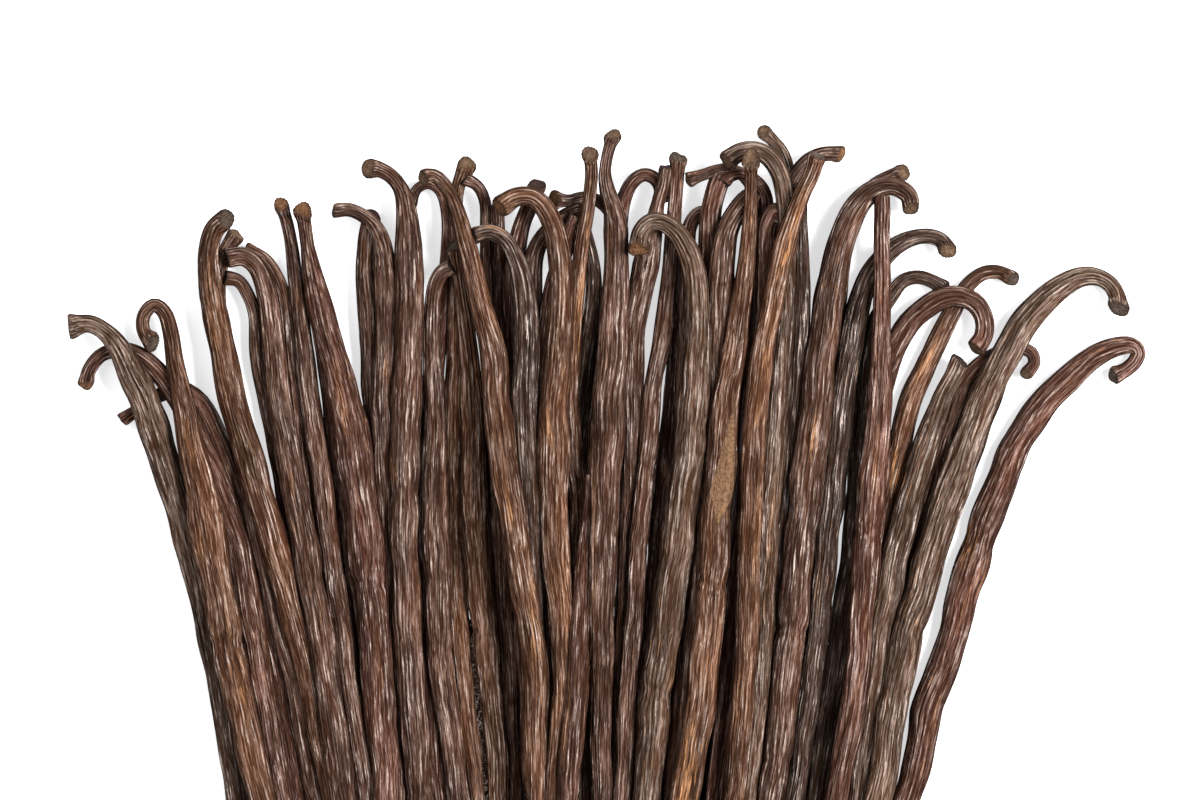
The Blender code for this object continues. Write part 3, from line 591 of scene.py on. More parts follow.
@dataclass(frozen=True)
class HeadForm:
    """The cut stem head, in millimetres or as parts of its width.

    The waves of the rim and the cut face run only round the head, so
    once_round, their pitch along it, doesn't show.
    """

    face_rings: tuple[float, ...] = (0.28, 0.52, 0.72, 0.88)
    face_width: float = 0.90
    lip: float = 0.10
    lip_length: float = 0.30
    rim: Range = (0.06, 0.12)
    rim_flares: float = 1.5
    slant: Range = (0.05, 0.38)
    tear: float = 0.18
    dome: Range = (-0.45, 0.35)
    slant_length: float = 1.8
    curl: float = 2.4
    once_round: Range = (9.0, 9.0)


@dataclass(frozen=True)
class ReliefForm:
    """Ribs on the neck, wrinkles on the body, lumps under both.

    Counts are round the pod, pitches along it in millimetres, and shares are
    of the depth of a rib. The upper count of ribs is itself left out. The fine
    wrinkles' rise is given for the neck, then as what the body adds to it.
    """

    ribs: tuple[int, int] = (13, 18)
    twist: float = 0.004
    rib_sway: float = 0.8
    rib_sway_pitch: Range = (45.0, 140.0)
    rib_crest: float = 0.8
    wrinkles: tuple[int, int] = (6, 15)
    wrinkle_pitch: Range = (30.0, 160.0)
    fine: tuple[int, int] = (13, 22)
    fine_pitch: Range = (12.0, 60.0)
    lump_pitch: Range = (10.0, 36.0)
    body_from: Range = (6.0, 42.0)
    wrinkled: float = 0.8
    main_rise: float = 0.62
    fine_rise: tuple[float, float] = (0.20, 0.18)
    depth: float = 0.020
    depth_least: float = 0.05
    fine_share: float = 0.5
    neck_fine: float = 0.4
    sunk: float = 0.3
    cork_smooth: float = 0.85
    lump: float = 0.028
    fold_valley: float = 1.4


@dataclass(frozen=True)
class Spindle:
    """Outline of a mark: where it is widest, as a part of its length, and how it swells and closes."""

    widest: float = 0.72
    swell: float = 0.8
    close: float = 0.75
    upper_side: Range = (-0.2, 0.2)


@dataclass(frozen=True)
class Shading:
    """How the flesh's colour varies over a pod, with painted shade on its sides and underside.

    Attributes:
        patches: How far patches go lighter or darker.
        patch_pitch: Their pitch along the pod, in millimetres.
        painted_flank_shade: Painted shade: brightness of the flesh's colour on the underside and low sides.
        flank_shade_range: Sine of the angle over which that painted shade lifts.
        flank_shade_warmth: Powers of that painted shade in red, green and blue, so that it darkens redder.
        flank_shade_sink: How far the ridge height falls on the sides: painted shade that also keeps the
            painted crest highlights off, and flattens the bump there.
        shade_sink_range: Sine of the angle over which it falls.
        waver: How far the strands wander across the pod, in millimetres.
        waver_pitch: Their pitch along the pod.
        rim: Shade of the cut face at its middle and at its rim.
        rim_share: How much of the cut's colour the rim takes.
        scar_colour: Colour of a corky scar.
        scar_edge: How far its edge darkens.
        apart: Distance between two pods on the straightened pattern, in millimetres.
    """

    patches: float = 0.26
    patch_pitch: Range = (16.0, 70.0)
    # Painted shade on the sides and underside of each pod
    painted_flank_shade: float = 0.46
    flank_shade_range: Range = (-0.1, 0.8)
    flank_shade_warmth: tuple[float, float, float] = (1.0, 1.15, 1.3)
    flank_shade_sink: float = 0.55
    shade_sink_range: Range = (0.0, 0.7)
    waver: float = 0.12
    waver_pitch: Range = (5.0, 16.0)
    rim: Range = (1.1, 0.42)
    rim_share: float = 0.35
    scar_colour: str = "#7A5C44"
    scar_edge: float = 2.4
    apart: float = 400.0


@dataclass(frozen=True)
class RingPitch:
    """How the rings of a pod are spread along it, in millimetres.

    Attributes:
        samples: How many points along the pod the spread is worked out at.
        head: Pitch at the head.
        head_zone: How far that reaches.
        crease: Pitch at a knuckle or a scar.
        crease_zone: How far that reaches.
        scar_margin: How far past a scar's ends it goes on.
        hidden: Pitch where the body of a lowest pod is out of sight.
        hidden_from: Distance from the head at which that starts.
        top_density: How much closer the points round a ring lie on its upper side.
    """

    samples: int = 1200
    head: float = 0.42
    head_zone: float = 9.0
    crease: float = 0.5
    crease_zone: float = 3.0
    scar_margin: float = 1.0
    hidden: float = 4.0
    hidden_from: float = 85.0
    top_density: float = 0.42


FORM = PodForm()
KNUCKLE = KnuckleForm()
HEAD = HeadForm()
RELIEF = ReliefForm()
SPINDLE = Spindle()
SHADING = Shading()
PITCH = RingPitch()


def linear(hex_colour: str) -> tuple[float, float, float]:
    """Turn an sRGB hex colour into linear red, green and blue.

    Args:
        hex_colour: The colour as "#RRGGBB".

    Returns:
        The three linear channels.
    """
    channels = (int(hex_colour[k : k + 2], 16) / 255.0 for k in (1, 3, 5))
    return tuple(c / 12.92 if c <= 0.04045 else ((c + 0.055) / 1.055) ** 2.4 for c in channels)


def smoothstep(low: float, high: float, values: Array) -> Array:
    """Rise smoothly from 0 to 1 between two values."""
    t = np.clip((values - low) / (high - low), 0.0, 1.0)
    return t * t * (3.0 - 2.0 * t)


def bell(values: Array, width: float) -> Array:
    """Gaussian bump of height 1 at zero."""
    return np.exp(-((values / width) ** 2))


def crest(phase: Array, sharpness: float) -> Array:
    """Rounded ridges with sharp valleys: |cos| of half the phase to a power, from -1 to 1."""
    return 2.0 * np.abs(np.cos(0.5 * phase)) ** sharpness - 1.0


def folded(wave: Array) -> Array:
    """Rounded ridges from -1 to 1, with a sharp valley wherever a wave passes zero."""
    return 2.0 * np.clip(np.abs(wave) / 0.8, 0.0, 1.0) ** 0.6 - 1.0


def rolling(
    turn: Array, along: Array, draw: np.random.Generator, around: tuple[int, int], pitch: Range,
    waves: int = 7,
) -> Array:
    """Smooth noise that closes round a pod: the sum of cosines of k turns plus along over a pitch.

    Args:
        turn: Angle round the pod.
        along: Distance along the pod.
        draw: Source of the random phases.
        around: Fewest and most waves round the pod.
        pitch: Shortest and longest wave along the pod, in millimetres.
        waves: How many cosines are summed.

    Returns:
        Values of about -1 to 1, of the shape that turn and along spread to.
    """
    total = np.zeros(np.broadcast(turn, along).shape)
    for _ in range(waves):
        number = draw.integers(around[0], around[1] + 1)
        length = draw.uniform(*pitch) * draw.choice((-1.0, 1.0))
        total += np.cos(number * turn + TURN * along / length + draw.uniform(0.0, TURN))
    return total / math.sqrt(2.0 * waves)


def smooth_path(points: Sequence[Point], step: float) -> tuple[Array, Array]:
    """Run a smooth curve through points: cubic Hermite pieces whose knots are root-of-chord apart.

    Args:
        points: The points, in order.
        step: Distance between the samples.

    Returns:
        The distance of each sample from the first point, and the samples.
    """
    points = np.asarray(points, dtype=float)
    chords = np.sqrt(np.hypot(*np.diff(points, axis=0).T))
    knots = np.concatenate(([0.0], np.cumsum(chords)))
    slopes = np.gradient(points, knots, axis=0)
    fine = np.linspace(0.0, knots[-1], 60 * len(points))
    piece = np.clip(np.searchsorted(knots, fine, side="right") - 1, 0, len(points) - 2)
    span = (knots[piece + 1] - knots[piece])[:, None]
    t = ((fine - knots[piece]) / span[:, 0])[:, None]
    curve = (
        (2 * t**3 - 3 * t**2 + 1) * points[piece]
        + (t**3 - 2 * t**2 + t) * span * slopes[piece]
        + (3 * t**2 - 2 * t**3) * points[piece + 1]
        + (t**3 - t**2) * span * slopes[piece + 1]
    )
    lengths = np.concatenate(([0.0], np.cumsum(np.hypot(*np.diff(curve, axis=0).T))))
    along = np.linspace(0.0, lengths[-1], int(round(lengths[-1] / step)) + 1)
    return along, np.column_stack([np.interp(along, lengths, curve[:, k]) for k in (0, 1)])


def leftward(path: Array) -> Array:
    """Turn a path's direction a quarter turn to the left.

    Args:
        path: Points on the plan, in order.

    Returns:
        A unit vector for each point.
    """
    tangent = np.gradient(path, axis=0)
    tangent /= np.linalg.norm(tangent, axis=1)[:, None]
    return np.column_stack([-tangent[:, 1], tangent[:, 0]])


def running(values: Array, radius: int, pick: Callable[..., Array]) -> Array:
    """Largest or smallest value within a radius of each entry.

    Args:
        values: The entries.
        radius: How many entries away it looks.
        pick: What picks the value, such as np.max.

    Returns:
        One value for each entry.
    """
    padded = np.pad(values, radius, mode="edge")
    return pick(np.lib.stride_tricks.sliding_window_view(padded, 2 * radius + 1), axis=1)


def smoothed(values: Array, sigma: float) -> Array:
    """Blur values along the pod: each becomes the mean of its neighbours, weighted by a Gaussian.

    Args:
        values: The values, evenly spaced.
        sigma: How far the blur reaches, in entries.

    Returns:
        The blurred values.
    """
    radius = int(3 * sigma)
    kernel = np.exp(-0.5 * (np.arange(-radius, radius + 1) / sigma) ** 2)
    return np.convolve(np.pad(values, radius, mode="edge"), kernel / kernel.sum(), mode="valid")


def squared(wave: Array) -> Array:
    """A wave between -1 and 1 with its flanks steepened: its sign times the root of its size."""
    return np.sign(wave) * np.abs(wave) ** 0.5


@dataclass
class Course:
    """The centre line of a pod, sampled evenly, with its full width and thickness."""

    along: Array
    path: Array
    width: Array
    thickness: Array
    rise: Array | None = None


@dataclass
class Pile:
    """The grid of heights that the pods already laid down reach.

    Attributes:
        low: Corner of the grid with the lowest X and Y.
        high: The opposite corner.
        cell: Side of a cell.
        step: Distance between the samples of a centre line.
        bridge: Span that a pod bridges without sagging.
        bend: How softly a pod bends.
        last_bend: How far the last smoothing reaches.
        squeeze: How far a pod sinks into what it lies on.
        rounds: How often the bend is settled.
        cross_reach: Part of the half width on which a pod can rest.
        cross_points: How many points across a pod are tried.
    """

    low: Array
    high: Array
    cell: float = 1.0
    step: float = STEP
    bridge: float = 16.0
    bend: float = 7.0
    last_bend: float = 2.8
    squeeze: float = 1.1
    rounds: int = 12
    cross_reach: float = 0.9
    cross_points: int = 9

    def __post_init__(self) -> None:
        """Start with an empty table."""
        self.height = np.zeros(np.ceil((self.high - self.low) / self.cell).astype(int) + 1)

    def cells(self, points: Array) -> tuple[Array, Array]:
        """Grid indices of points on the plan."""
        index = np.rint((points - self.low) / self.cell).astype(int)
        return index[..., 0], index[..., 1]

    def lay(self, course: Course) -> None:
        """Lay a pod on the pile and set the rise of its centre line.

        The pod touches down wherever the pile under it is highest, bridges
        what is narrower than its span, and bends softly over the rest.

        Args:
            course: The pod's centre line, whose rise is set.
        """
        offsets = np.linspace(-self.cross_reach, self.cross_reach, self.cross_points)
        bulge = 0.5 * course.thickness[:, None] * np.sqrt(1.0 - offsets**2)
        spots = course.path[:, None, :] + (
            leftward(course.path)[:, None, :] * (0.5 * course.width)[:, None, None] * offsets[:, None]
        )
        contact = (self.height[self.cells(spots)] + bulge).max(axis=1)
        floor = 0.5 * course.thickness
        held = np.maximum(contact - self.squeeze, floor)
        reach = int(self.bridge / self.step)
        rise = running(running(held, reach, np.max), reach, np.min)
        for _ in range(self.rounds):
            rise = np.maximum(smoothed(rise, self.bend / self.step), held)
        course.rise = np.maximum(smoothed(rise, self.last_bend / self.step), floor)
        np.maximum.at(self.height, self.cells(spots), course.rise[:, None] + bulge)


def add_node(tree: bpy.types.NodeTree, kind: str, settings: dict, inputs: dict) -> bpy.types.Node:
    """Add a node to a material.

    Args:
        tree: The material's node tree.
        kind: The node's type name.
        settings: Values for the node's own properties.
        inputs: For each input, by name or number, its value or the socket that feeds it.

    Returns:
        The new node.
    """
    node = tree.nodes.new(kind)
    for name, value in settings.items():
        setattr(node, name, value)
    for key, value in inputs.items():
        if isinstance(value, bpy.types.NodeSocket):
            tree.links.new(value, node.inputs[key])
        else:
            node.inputs[key].default_value = value
    return node


@dataclass(frozen=True)
class CuredPodSkin:
    """Cured vanilla pod: leathery, oily flesh that has dried into lengthwise wrinkles.

    The flesh is a deep brown, darkened and reddened in the wrinkles' valleys as
    painted shade. Where a wrinkle stands up, its crest goes a dull pinkish grey in
    short broken strands, partly a pale bloom and partly a painted highlight. Rusty
    fibres show where the outer skin is worn through, and cork where a cut or a
    scar has dried.
    Widths and lengths are those of a spot of each pattern, in millimetres. A
    range is the part of a pattern over which its effect comes in.
    """

    # Painted shade: the flesh goes darker and redder in the valleys and furrows of the wrinkles
    painted_valley_shade: tuple[float, float, float] = (0.30, 0.19, 0.125)
    flesh_shade: float = 1.18
    # Pale bloom and painted highlight on the crests of the wrinkles
    crest_bloom_and_highlight_colour: str = "#B8A194"
    crest_highlight_share: float = 0.88
    rust_colour: str = "#B07B4E"
    fleck_share: float = 0.42
    strand_width: float = 0.29
    strand_length: float = 4.0
    furrow_width: float = 0.46
    furrow_length: float = 7.5
    fleck_width: float = 0.24
    fleck_length: float = 4.0
    pore_width: float = 0.16
    pore_length: float = 0.7
    zone_width: float = 1.3
    zone_length: float = 18.0
    zone_shade: Range = (0.66, 1.25)
    blotch_width: float = 4.5
    blotch_length: float = 14.0
    cork_grain: float = 0.30
    roughness: Range = (0.8, 0.38)
    specular: float = 0.08
    oil: float = 0.9
    oil_roughness: float = 0.30
    bump_height: float = 0.30
    strand_range: Range = (0.34, 0.68)
    furrow_half_width: float = 0.07
    strand_rise: float = 0.44
    furrow_rise: float = -0.34
    ridge_rise: float = 0.26
    pore_rise: float = 0.6
    middle_height: float = 0.24
    valley_shade_range: Range = (-0.10, 0.62)
    zone_range: Range = (0.36, 0.64)
    crest_highlight_range: Range = (0.42, 0.72)
    highlight_patch_range: Range = (0.38, 0.60)
    highlight_patch_share: Range = (0.42, 1.0)
    fleck_range: Range = (0.58, 0.65)
    flecked_range: Range = (0.52, 0.38)
    fibre_range: Range = (0.42, 0.56)
    bared_range: Range = (0.05, 0.45)
    bared_share: Range = (0.15, 1.0)
    speckle_range: Range = (0.36, 0.62)
    speckle_shade: Range = (0.56, 1.10)
    cork_range: Range = (0.30, 0.70)
    cork_shade: Range = (0.78, 1.22)
    cork_gloss: float = 0.2
    dull_range: Range = (0.0, 0.7)
    oil_range: Range = (0.25, 0.75)

    def build(self) -> bpy.types.Material:
        """Make the material.

        Returns:
            The material, which reads the attributes that VanillaPod writes.
        """
        material = bpy.data.materials.new("cured_pod_skin")
        material.use_nodes = True
        tree = material.node_tree
        shader = tree.nodes["Principled BSDF"]
        place = self.stored(tree, "skin_mm", "Vector")
        flesh = self.stored(tree, "flesh", "Color")
        ridge = self.stored(tree, "ridge", "Fac")
        rusty = self.stored(tree, "rust", "Fac")
        corky = self.stored(tree, "cork", "Fac")

        fibre = self.noise(tree, place, self.strand_width, self.strand_length, 2.0)
        strand = self.ramp(tree, fibre, self.strand_range, WHOLE)
        split = self.noise(tree, place, self.furrow_width, self.furrow_length, 2.0)
        furrow = self.threads(tree, split, self.furrow_half_width)
        fleck = self.noise(tree, place, self.fleck_width, self.fleck_length, 3.0)
        blotch = self.noise(tree, place, self.blotch_width, self.blotch_length, 2.0)
        pore = self.noise(tree, place, self.pore_width, self.pore_length, 2.0)
        zone = self.noise(tree, place, self.zone_width, self.zone_length, 2.0)
        grooved = self.blend(tree, furrow, self.furrow_rise, ridge, self.ridge_rise)
        height = self.blend(tree, strand, self.strand_rise, grooved, 1.0)
        settings = {"operation": "SUBTRACT"}
        lowered = add_node(tree, "ShaderNodeMath", settings, {0: height, 1: self.middle_height}).outputs[0]
        height = self.blend(tree, pore, self.pore_rise, lowered, 1.0)

        # Painted shade: the flesh darkens and reddens towards the valleys of the skin's height
        raised = self.ramp(tree, height, self.valley_shade_range, WHOLE)
        shade = self.mix(tree, raised, (*self.painted_valley_shade, 1.0), (*(self.flesh_shade,) * 3, 1.0))
        zoned = self.ramp(tree, zone, self.zone_range, self.zone_shade)
        shade = self.mix(tree, 1.0, shade, zoned, "MULTIPLY")
        colour = self.mix(tree, 1.0, flesh, shade, "MULTIPLY")
        # Pale bloom and painted highlight: the higher crests go pale pinkish grey in short broken strands
        bloom_and_highlight = self.times(
            tree, self.ramp(tree, height, self.crest_highlight_range, (0.0, self.crest_highlight_share)),
            self.ramp(tree, blotch, self.highlight_patch_range, self.highlight_patch_share),
        )
        colour = self.mix(tree, bloom_and_highlight, colour, (*linear(self.crest_bloom_and_highlight_colour), 1.0))
        flecked = self.times(
            tree, self.ramp(tree, fleck, self.fleck_range, (0.0, self.fleck_share)),
            self.ramp(tree, blotch, self.flecked_range, WHOLE),
        )
        worn = self.times(tree, self.ramp(tree, fleck, self.fibre_range, WHOLE), rusty)
        bared = add_node(tree, "ShaderNodeMath", {"operation": "MAXIMUM"}, {0: flecked, 1: worn}).outputs[0]
        bared = self.times(tree, bared, self.ramp(tree, height, self.bared_range, self.bared_share))
        colour = self.mix(tree, bared, colour, (*linear(self.rust_colour), 1.0))
        speckle = self.noise(tree, place, self.cork_grain, self.cork_grain, 3.0)
        grain = self.times(
            tree, self.ramp(tree, speckle, self.speckle_range, self.speckle_shade),
            self.ramp(tree, zone, self.cork_range, self.cork_shade),
        )
        cork = self.mix(tree, 1.0, flesh, grain, "MULTIPLY")
        colour = self.mix(tree, corky, colour, cork)
        gloss = self.times(tree, height, self.ramp(tree, corky, WHOLE, (1.0, self.cork_gloss)))
        dull = self.ramp(tree, gloss, self.dull_range, self.roughness)
        bump = add_node(
            tree, "ShaderNodeBump", {},
            {"Height": height, "Strength": 1.0, "Distance": self.bump_height * MILLIMETRE},
        ).outputs["Normal"]
        tree.links.new(colour, shader.inputs["Base Color"])
        tree.links.new(dull, shader.inputs["Roughness"])
        tree.links.new(bump, shader.inputs["Normal"])
        tree.links.new(self.ramp(tree, gloss, self.oil_range, (0.0, self.oil)), shader.inputs["Coat Weight"])
        tree.links.new(bump, shader.inputs["Coat Normal"])
        shader.inputs["Coat Roughness"].default_value = self.oil_roughness
        shader.inputs["Specular IOR Level"].default_value = self.specular
        return material

    def stored(self, tree: bpy.types.NodeTree, name: str, output: str) -> bpy.types.NodeSocket:
        """Read one of the mesh's attributes."""
        return add_node(tree, "ShaderNodeAttribute", {"attribute_name": name}, {}).outputs[output]

    def noise(
        self, tree: bpy.types.NodeTree, place: bpy.types.NodeSocket, width: float, length: float,
        detail: float,
    ) -> bpy.types.NodeSocket:
        """Noise drawn out along the pod.

        Args:
            tree: The material's node tree.
            place: Position on the straightened pod, in millimetres.
            width: Size of a spot across the pod, in millimetres.
            length: Size of a spot along it.
            detail: How many finer layers are added.

        Returns:
            The socket that gives the noise, from 0 to 1.
        """
        scale = (0.5 / width, 0.5 / width, 0.5 / length)
        stretched = add_node(tree, "ShaderNodeMapping", {}, {"Vector": place, "Scale": scale}).outputs[0]
        inputs = {"Vector": stretched, "Scale": 1.0, "Detail": detail, "Roughness": 0.6}
        return add_node(tree, "ShaderNodeTexNoise", {}, inputs).outputs["Fac"]

    def threads(
        self, tree: bpy.types.NodeTree, noise: bpy.types.NodeSocket, width: float
    ) -> bpy.types.NodeSocket:
        """Thin rounded threads of height 1 along the lines where the noise passes its middle.

        Args:
            tree: The material's node tree.
            noise: The noise, from 0 to 1.
            width: Half the width of a thread, as a difference in the noise.

        Returns:
            The socket that gives the height of the threads.
        """
        off = add_node(tree, "ShaderNodeMath", {"operation": "SUBTRACT"}, {0: noise, 1: 0.5}).outputs[0]
        size = add_node(tree, "ShaderNodeMath", {"operation": "ABSOLUTE"}, {0: off}).outputs[0]
        return self.ramp(tree, size, (0.0, width), (1.0, 0.0))

    def blend(
        self, tree: bpy.types.NodeTree, first: bpy.types.NodeSocket, first_share: float,
        second: bpy.types.NodeSocket, second_share: float,
    ) -> bpy.types.NodeSocket:
        """Weighted sum of two values.

        Args:
            tree: The material's node tree.
            first: The first value.
            first_share: What it is multiplied by.
            second: The second value.
            second_share: What it is multiplied by.

        Returns:
            The socket that gives the sum.
        """
        part = add_node(tree, "ShaderNodeMath", {"operation": "MULTIPLY"}, {0: second, 1: second_share})
        inputs = {0: first, 1: first_share, 2: part.outputs[0]}
        return add_node(tree, "ShaderNodeMath", {"operation": "MULTIPLY_ADD"}, inputs).outputs[0]

    def times(
        self, tree: bpy.types.NodeTree, first: bpy.types.NodeSocket, second: bpy.types.NodeSocket
    ) -> bpy.types.NodeSocket:
        """Product of two values."""
        return add_node(tree, "ShaderNodeMath", {"operation": "MULTIPLY"}, {0: first, 1: second}).outputs[0]

    def ramp(
        self, tree: bpy.types.NodeTree, value: bpy.types.NodeSocket, source: Range, target: Range,
    ) -> bpy.types.NodeSocket:
        """Turn one range of values into another.

        Args:
            tree: The material's node tree.
            value: The value.
            source: The range it is read over.
            target: The values at the two ends of that range, which it goes between smoothly.

        Returns:
            The socket that gives the result.
        """
        (low, high), (start, end) = source, target
        if low > high:
            (low, high), (start, end) = (high, low), (end, start)
        inputs = {"Value": value, "From Min": low, "From Max": high, "To Min": start, "To Max": end}
        return add_node(tree, "ShaderNodeMapRange", {"interpolation_type": "SMOOTHSTEP"}, inputs).outputs[0]

    def mix(
        self, tree: bpy.types.NodeTree, share: float | bpy.types.NodeSocket,
        first: tuple | bpy.types.NodeSocket, second: tuple | bpy.types.NodeSocket, blend: str = "MIX",
    ) -> bpy.types.NodeSocket:
        """Mix two colours.

        Args:
            tree: The material's node tree.
            share: Share of the second.
            first: The first colour.
            second: The second colour.
            blend: How they are combined.

        Returns:
            The socket that gives the colour.
        """
        settings = {"data_type": "RGBA", "blend_type": blend}
        return add_node(tree, "ShaderNodeMix", settings, {0: share, 6: first, 7: second}).outputs[2]


@dataclass(frozen=True)
class OpalPanel:
    """White opal panel under the bundle, matt, and lit faintly from below like a light table."""

    colour: str = "#F6F6F7"
    roughness: float = 0.9
    glow: float = 0.68
    specular: float = 0.1

    def build(self) -> bpy.types.Material:
        """Make the material.

        Returns:
            The material.
        """
        material = bpy.data.materials.new("opal_panel")
        material.use_nodes = True
        shader = material.node_tree.nodes["Principled BSDF"]
        shader.inputs["Base Color"].default_value = (*linear(self.colour), 1.0)
        shader.inputs["Roughness"].default_value = self.roughness
        shader.inputs["Specular IOR Level"].default_value = self.specular
        shader.inputs["Emission Color"].default_value = (*linear(self.colour), 1.0)
        shader.inputs["Emission Strength"].default_value = self.glow
        return material


def closed_mesh(name: str, rings: Array, first: Array, last: Array) -> bpy.types.Object:
    """Make a closed object from rings of points and a pole at each end.

    Faces run between neighbouring rings, and fans close the ends on the poles.

    Args:
        name: The object's name.
        rings: Points as (ring, point, 3), in metres.
        first: The pole before the first ring.
        last: The pole after the last ring.

    Returns:
        The new object, with its vertices in ring order and the poles last.
    """
    count, around = rings.shape[:2]
    index = np.arange(count * around).reshape(count, around)
    after = np.roll(index, -1, axis=1)
    quads = np.stack([index[:-1], after[:-1], after[1:], index[1:]], axis=-1).reshape(-1, 4)
    poles = (count * around, count * around + 1)
    heads = np.column_stack([np.full(around, poles[0]), after[0], index[0]])
    tails = np.column_stack([np.full(around, poles[1]), index[-1], after[-1]])
    mesh = bpy.data.meshes.new(name)
    mesh.vertices.add(count * around + 2)
    mesh.vertices.foreach_set("co", np.concatenate([rings.reshape(-1, 3), [first, last]]).ravel())
    corners = np.concatenate([quads.ravel(), heads.ravel(), tails.ravel()])
    sizes = np.concatenate([np.full(len(quads), 4), np.full(len(heads) + len(tails), 3)])
    mesh.loops.add(len(corners))
    mesh.loops.foreach_set("vertex_index", corners)
    mesh.polygons.add(len(sizes))
    mesh.polygons.foreach_set("loop_start", np.concatenate([[0], np.cumsum(sizes)[:-1]]))
    mesh.polygons.foreach_set("use_smooth", np.ones(len(sizes), dtype=bool))
    mesh.update(calc_edges=True)
    mesh.validate()
    obj = bpy.data.objects.new(name, mesh)
    bpy.context.scene.collection.objects.link(obj)
    return obj


def add_strip_map(mesh: bpy.types.Mesh, count: int, around: int, down: Array) -> None:
    """Give a ring mesh a UV map: U runs once round it, V along it, and both fill the square.

    Args:
        mesh: The mesh that closed_mesh made.
        count: How many rings it has.
        around: How many points each ring has.
        down: V of each ring.
    """
    corners = np.zeros(len(mesh.loops), dtype=np.int64)
    mesh.loops.foreach_get("vertex_index", corners)
    ring, column = corners // around, corners % around
    quad_corners = 4 * (count - 1) * around
    u = column / around
    second = np.zeros(len(corners), dtype=bool)
    second[:quad_corners] = np.isin(np.arange(quad_corners) % 4, (1, 2))
    second[quad_corners::3] = False
    second[quad_corners + 1 : quad_corners + 3 * around : 3] = True
    second[quad_corners + 3 * around + 2 :: 3] = True
    u = np.where(second & (column == 0), 1.0, u)
    v = np.concatenate([down, [0.0, 1.0]])[np.minimum(ring, count + 1)]
    pole = corners >= count * around
    v = np.where(pole, np.where(corners == count * around, 0.0, 1.0), v)
    fan = (np.arange(len(corners)) - quad_corners) // 3 % around
    u = np.where(pole, (fan + 0.5) / around, u)
    layer = mesh.uv_layers.new(name="skin_map")
    layer.data.foreach_set("uv", np.column_stack([u, v]).ravel())


def add_attribute(mesh: bpy.types.Mesh, name: str, kind: str, grid: Array) -> None:
    """Store a value for each vertex of a ring mesh, whose poles take that of the nearest ring.

    Args:
        mesh: The mesh that closed_mesh made.
        name: The attribute's name.
        kind: FLOAT, FLOAT_VECTOR or FLOAT_COLOR.
        grid: Values as (ring, point) or (ring, point, channel).
    """
    rows = grid.reshape(grid.shape[0] * grid.shape[1], -1)
    values = np.concatenate([rows, grid[0, :1].reshape(1, -1), grid[-1, :1].reshape(1, -1)])
    key = {"FLOAT": "value", "FLOAT_VECTOR": "vector", "FLOAT_COLOR": "color"}[kind]
    attribute = mesh.attributes.new(name, kind, "POINT")
    attribute.data.foreach_set(key, np.ascontiguousarray(values, dtype=np.float32).ravel())


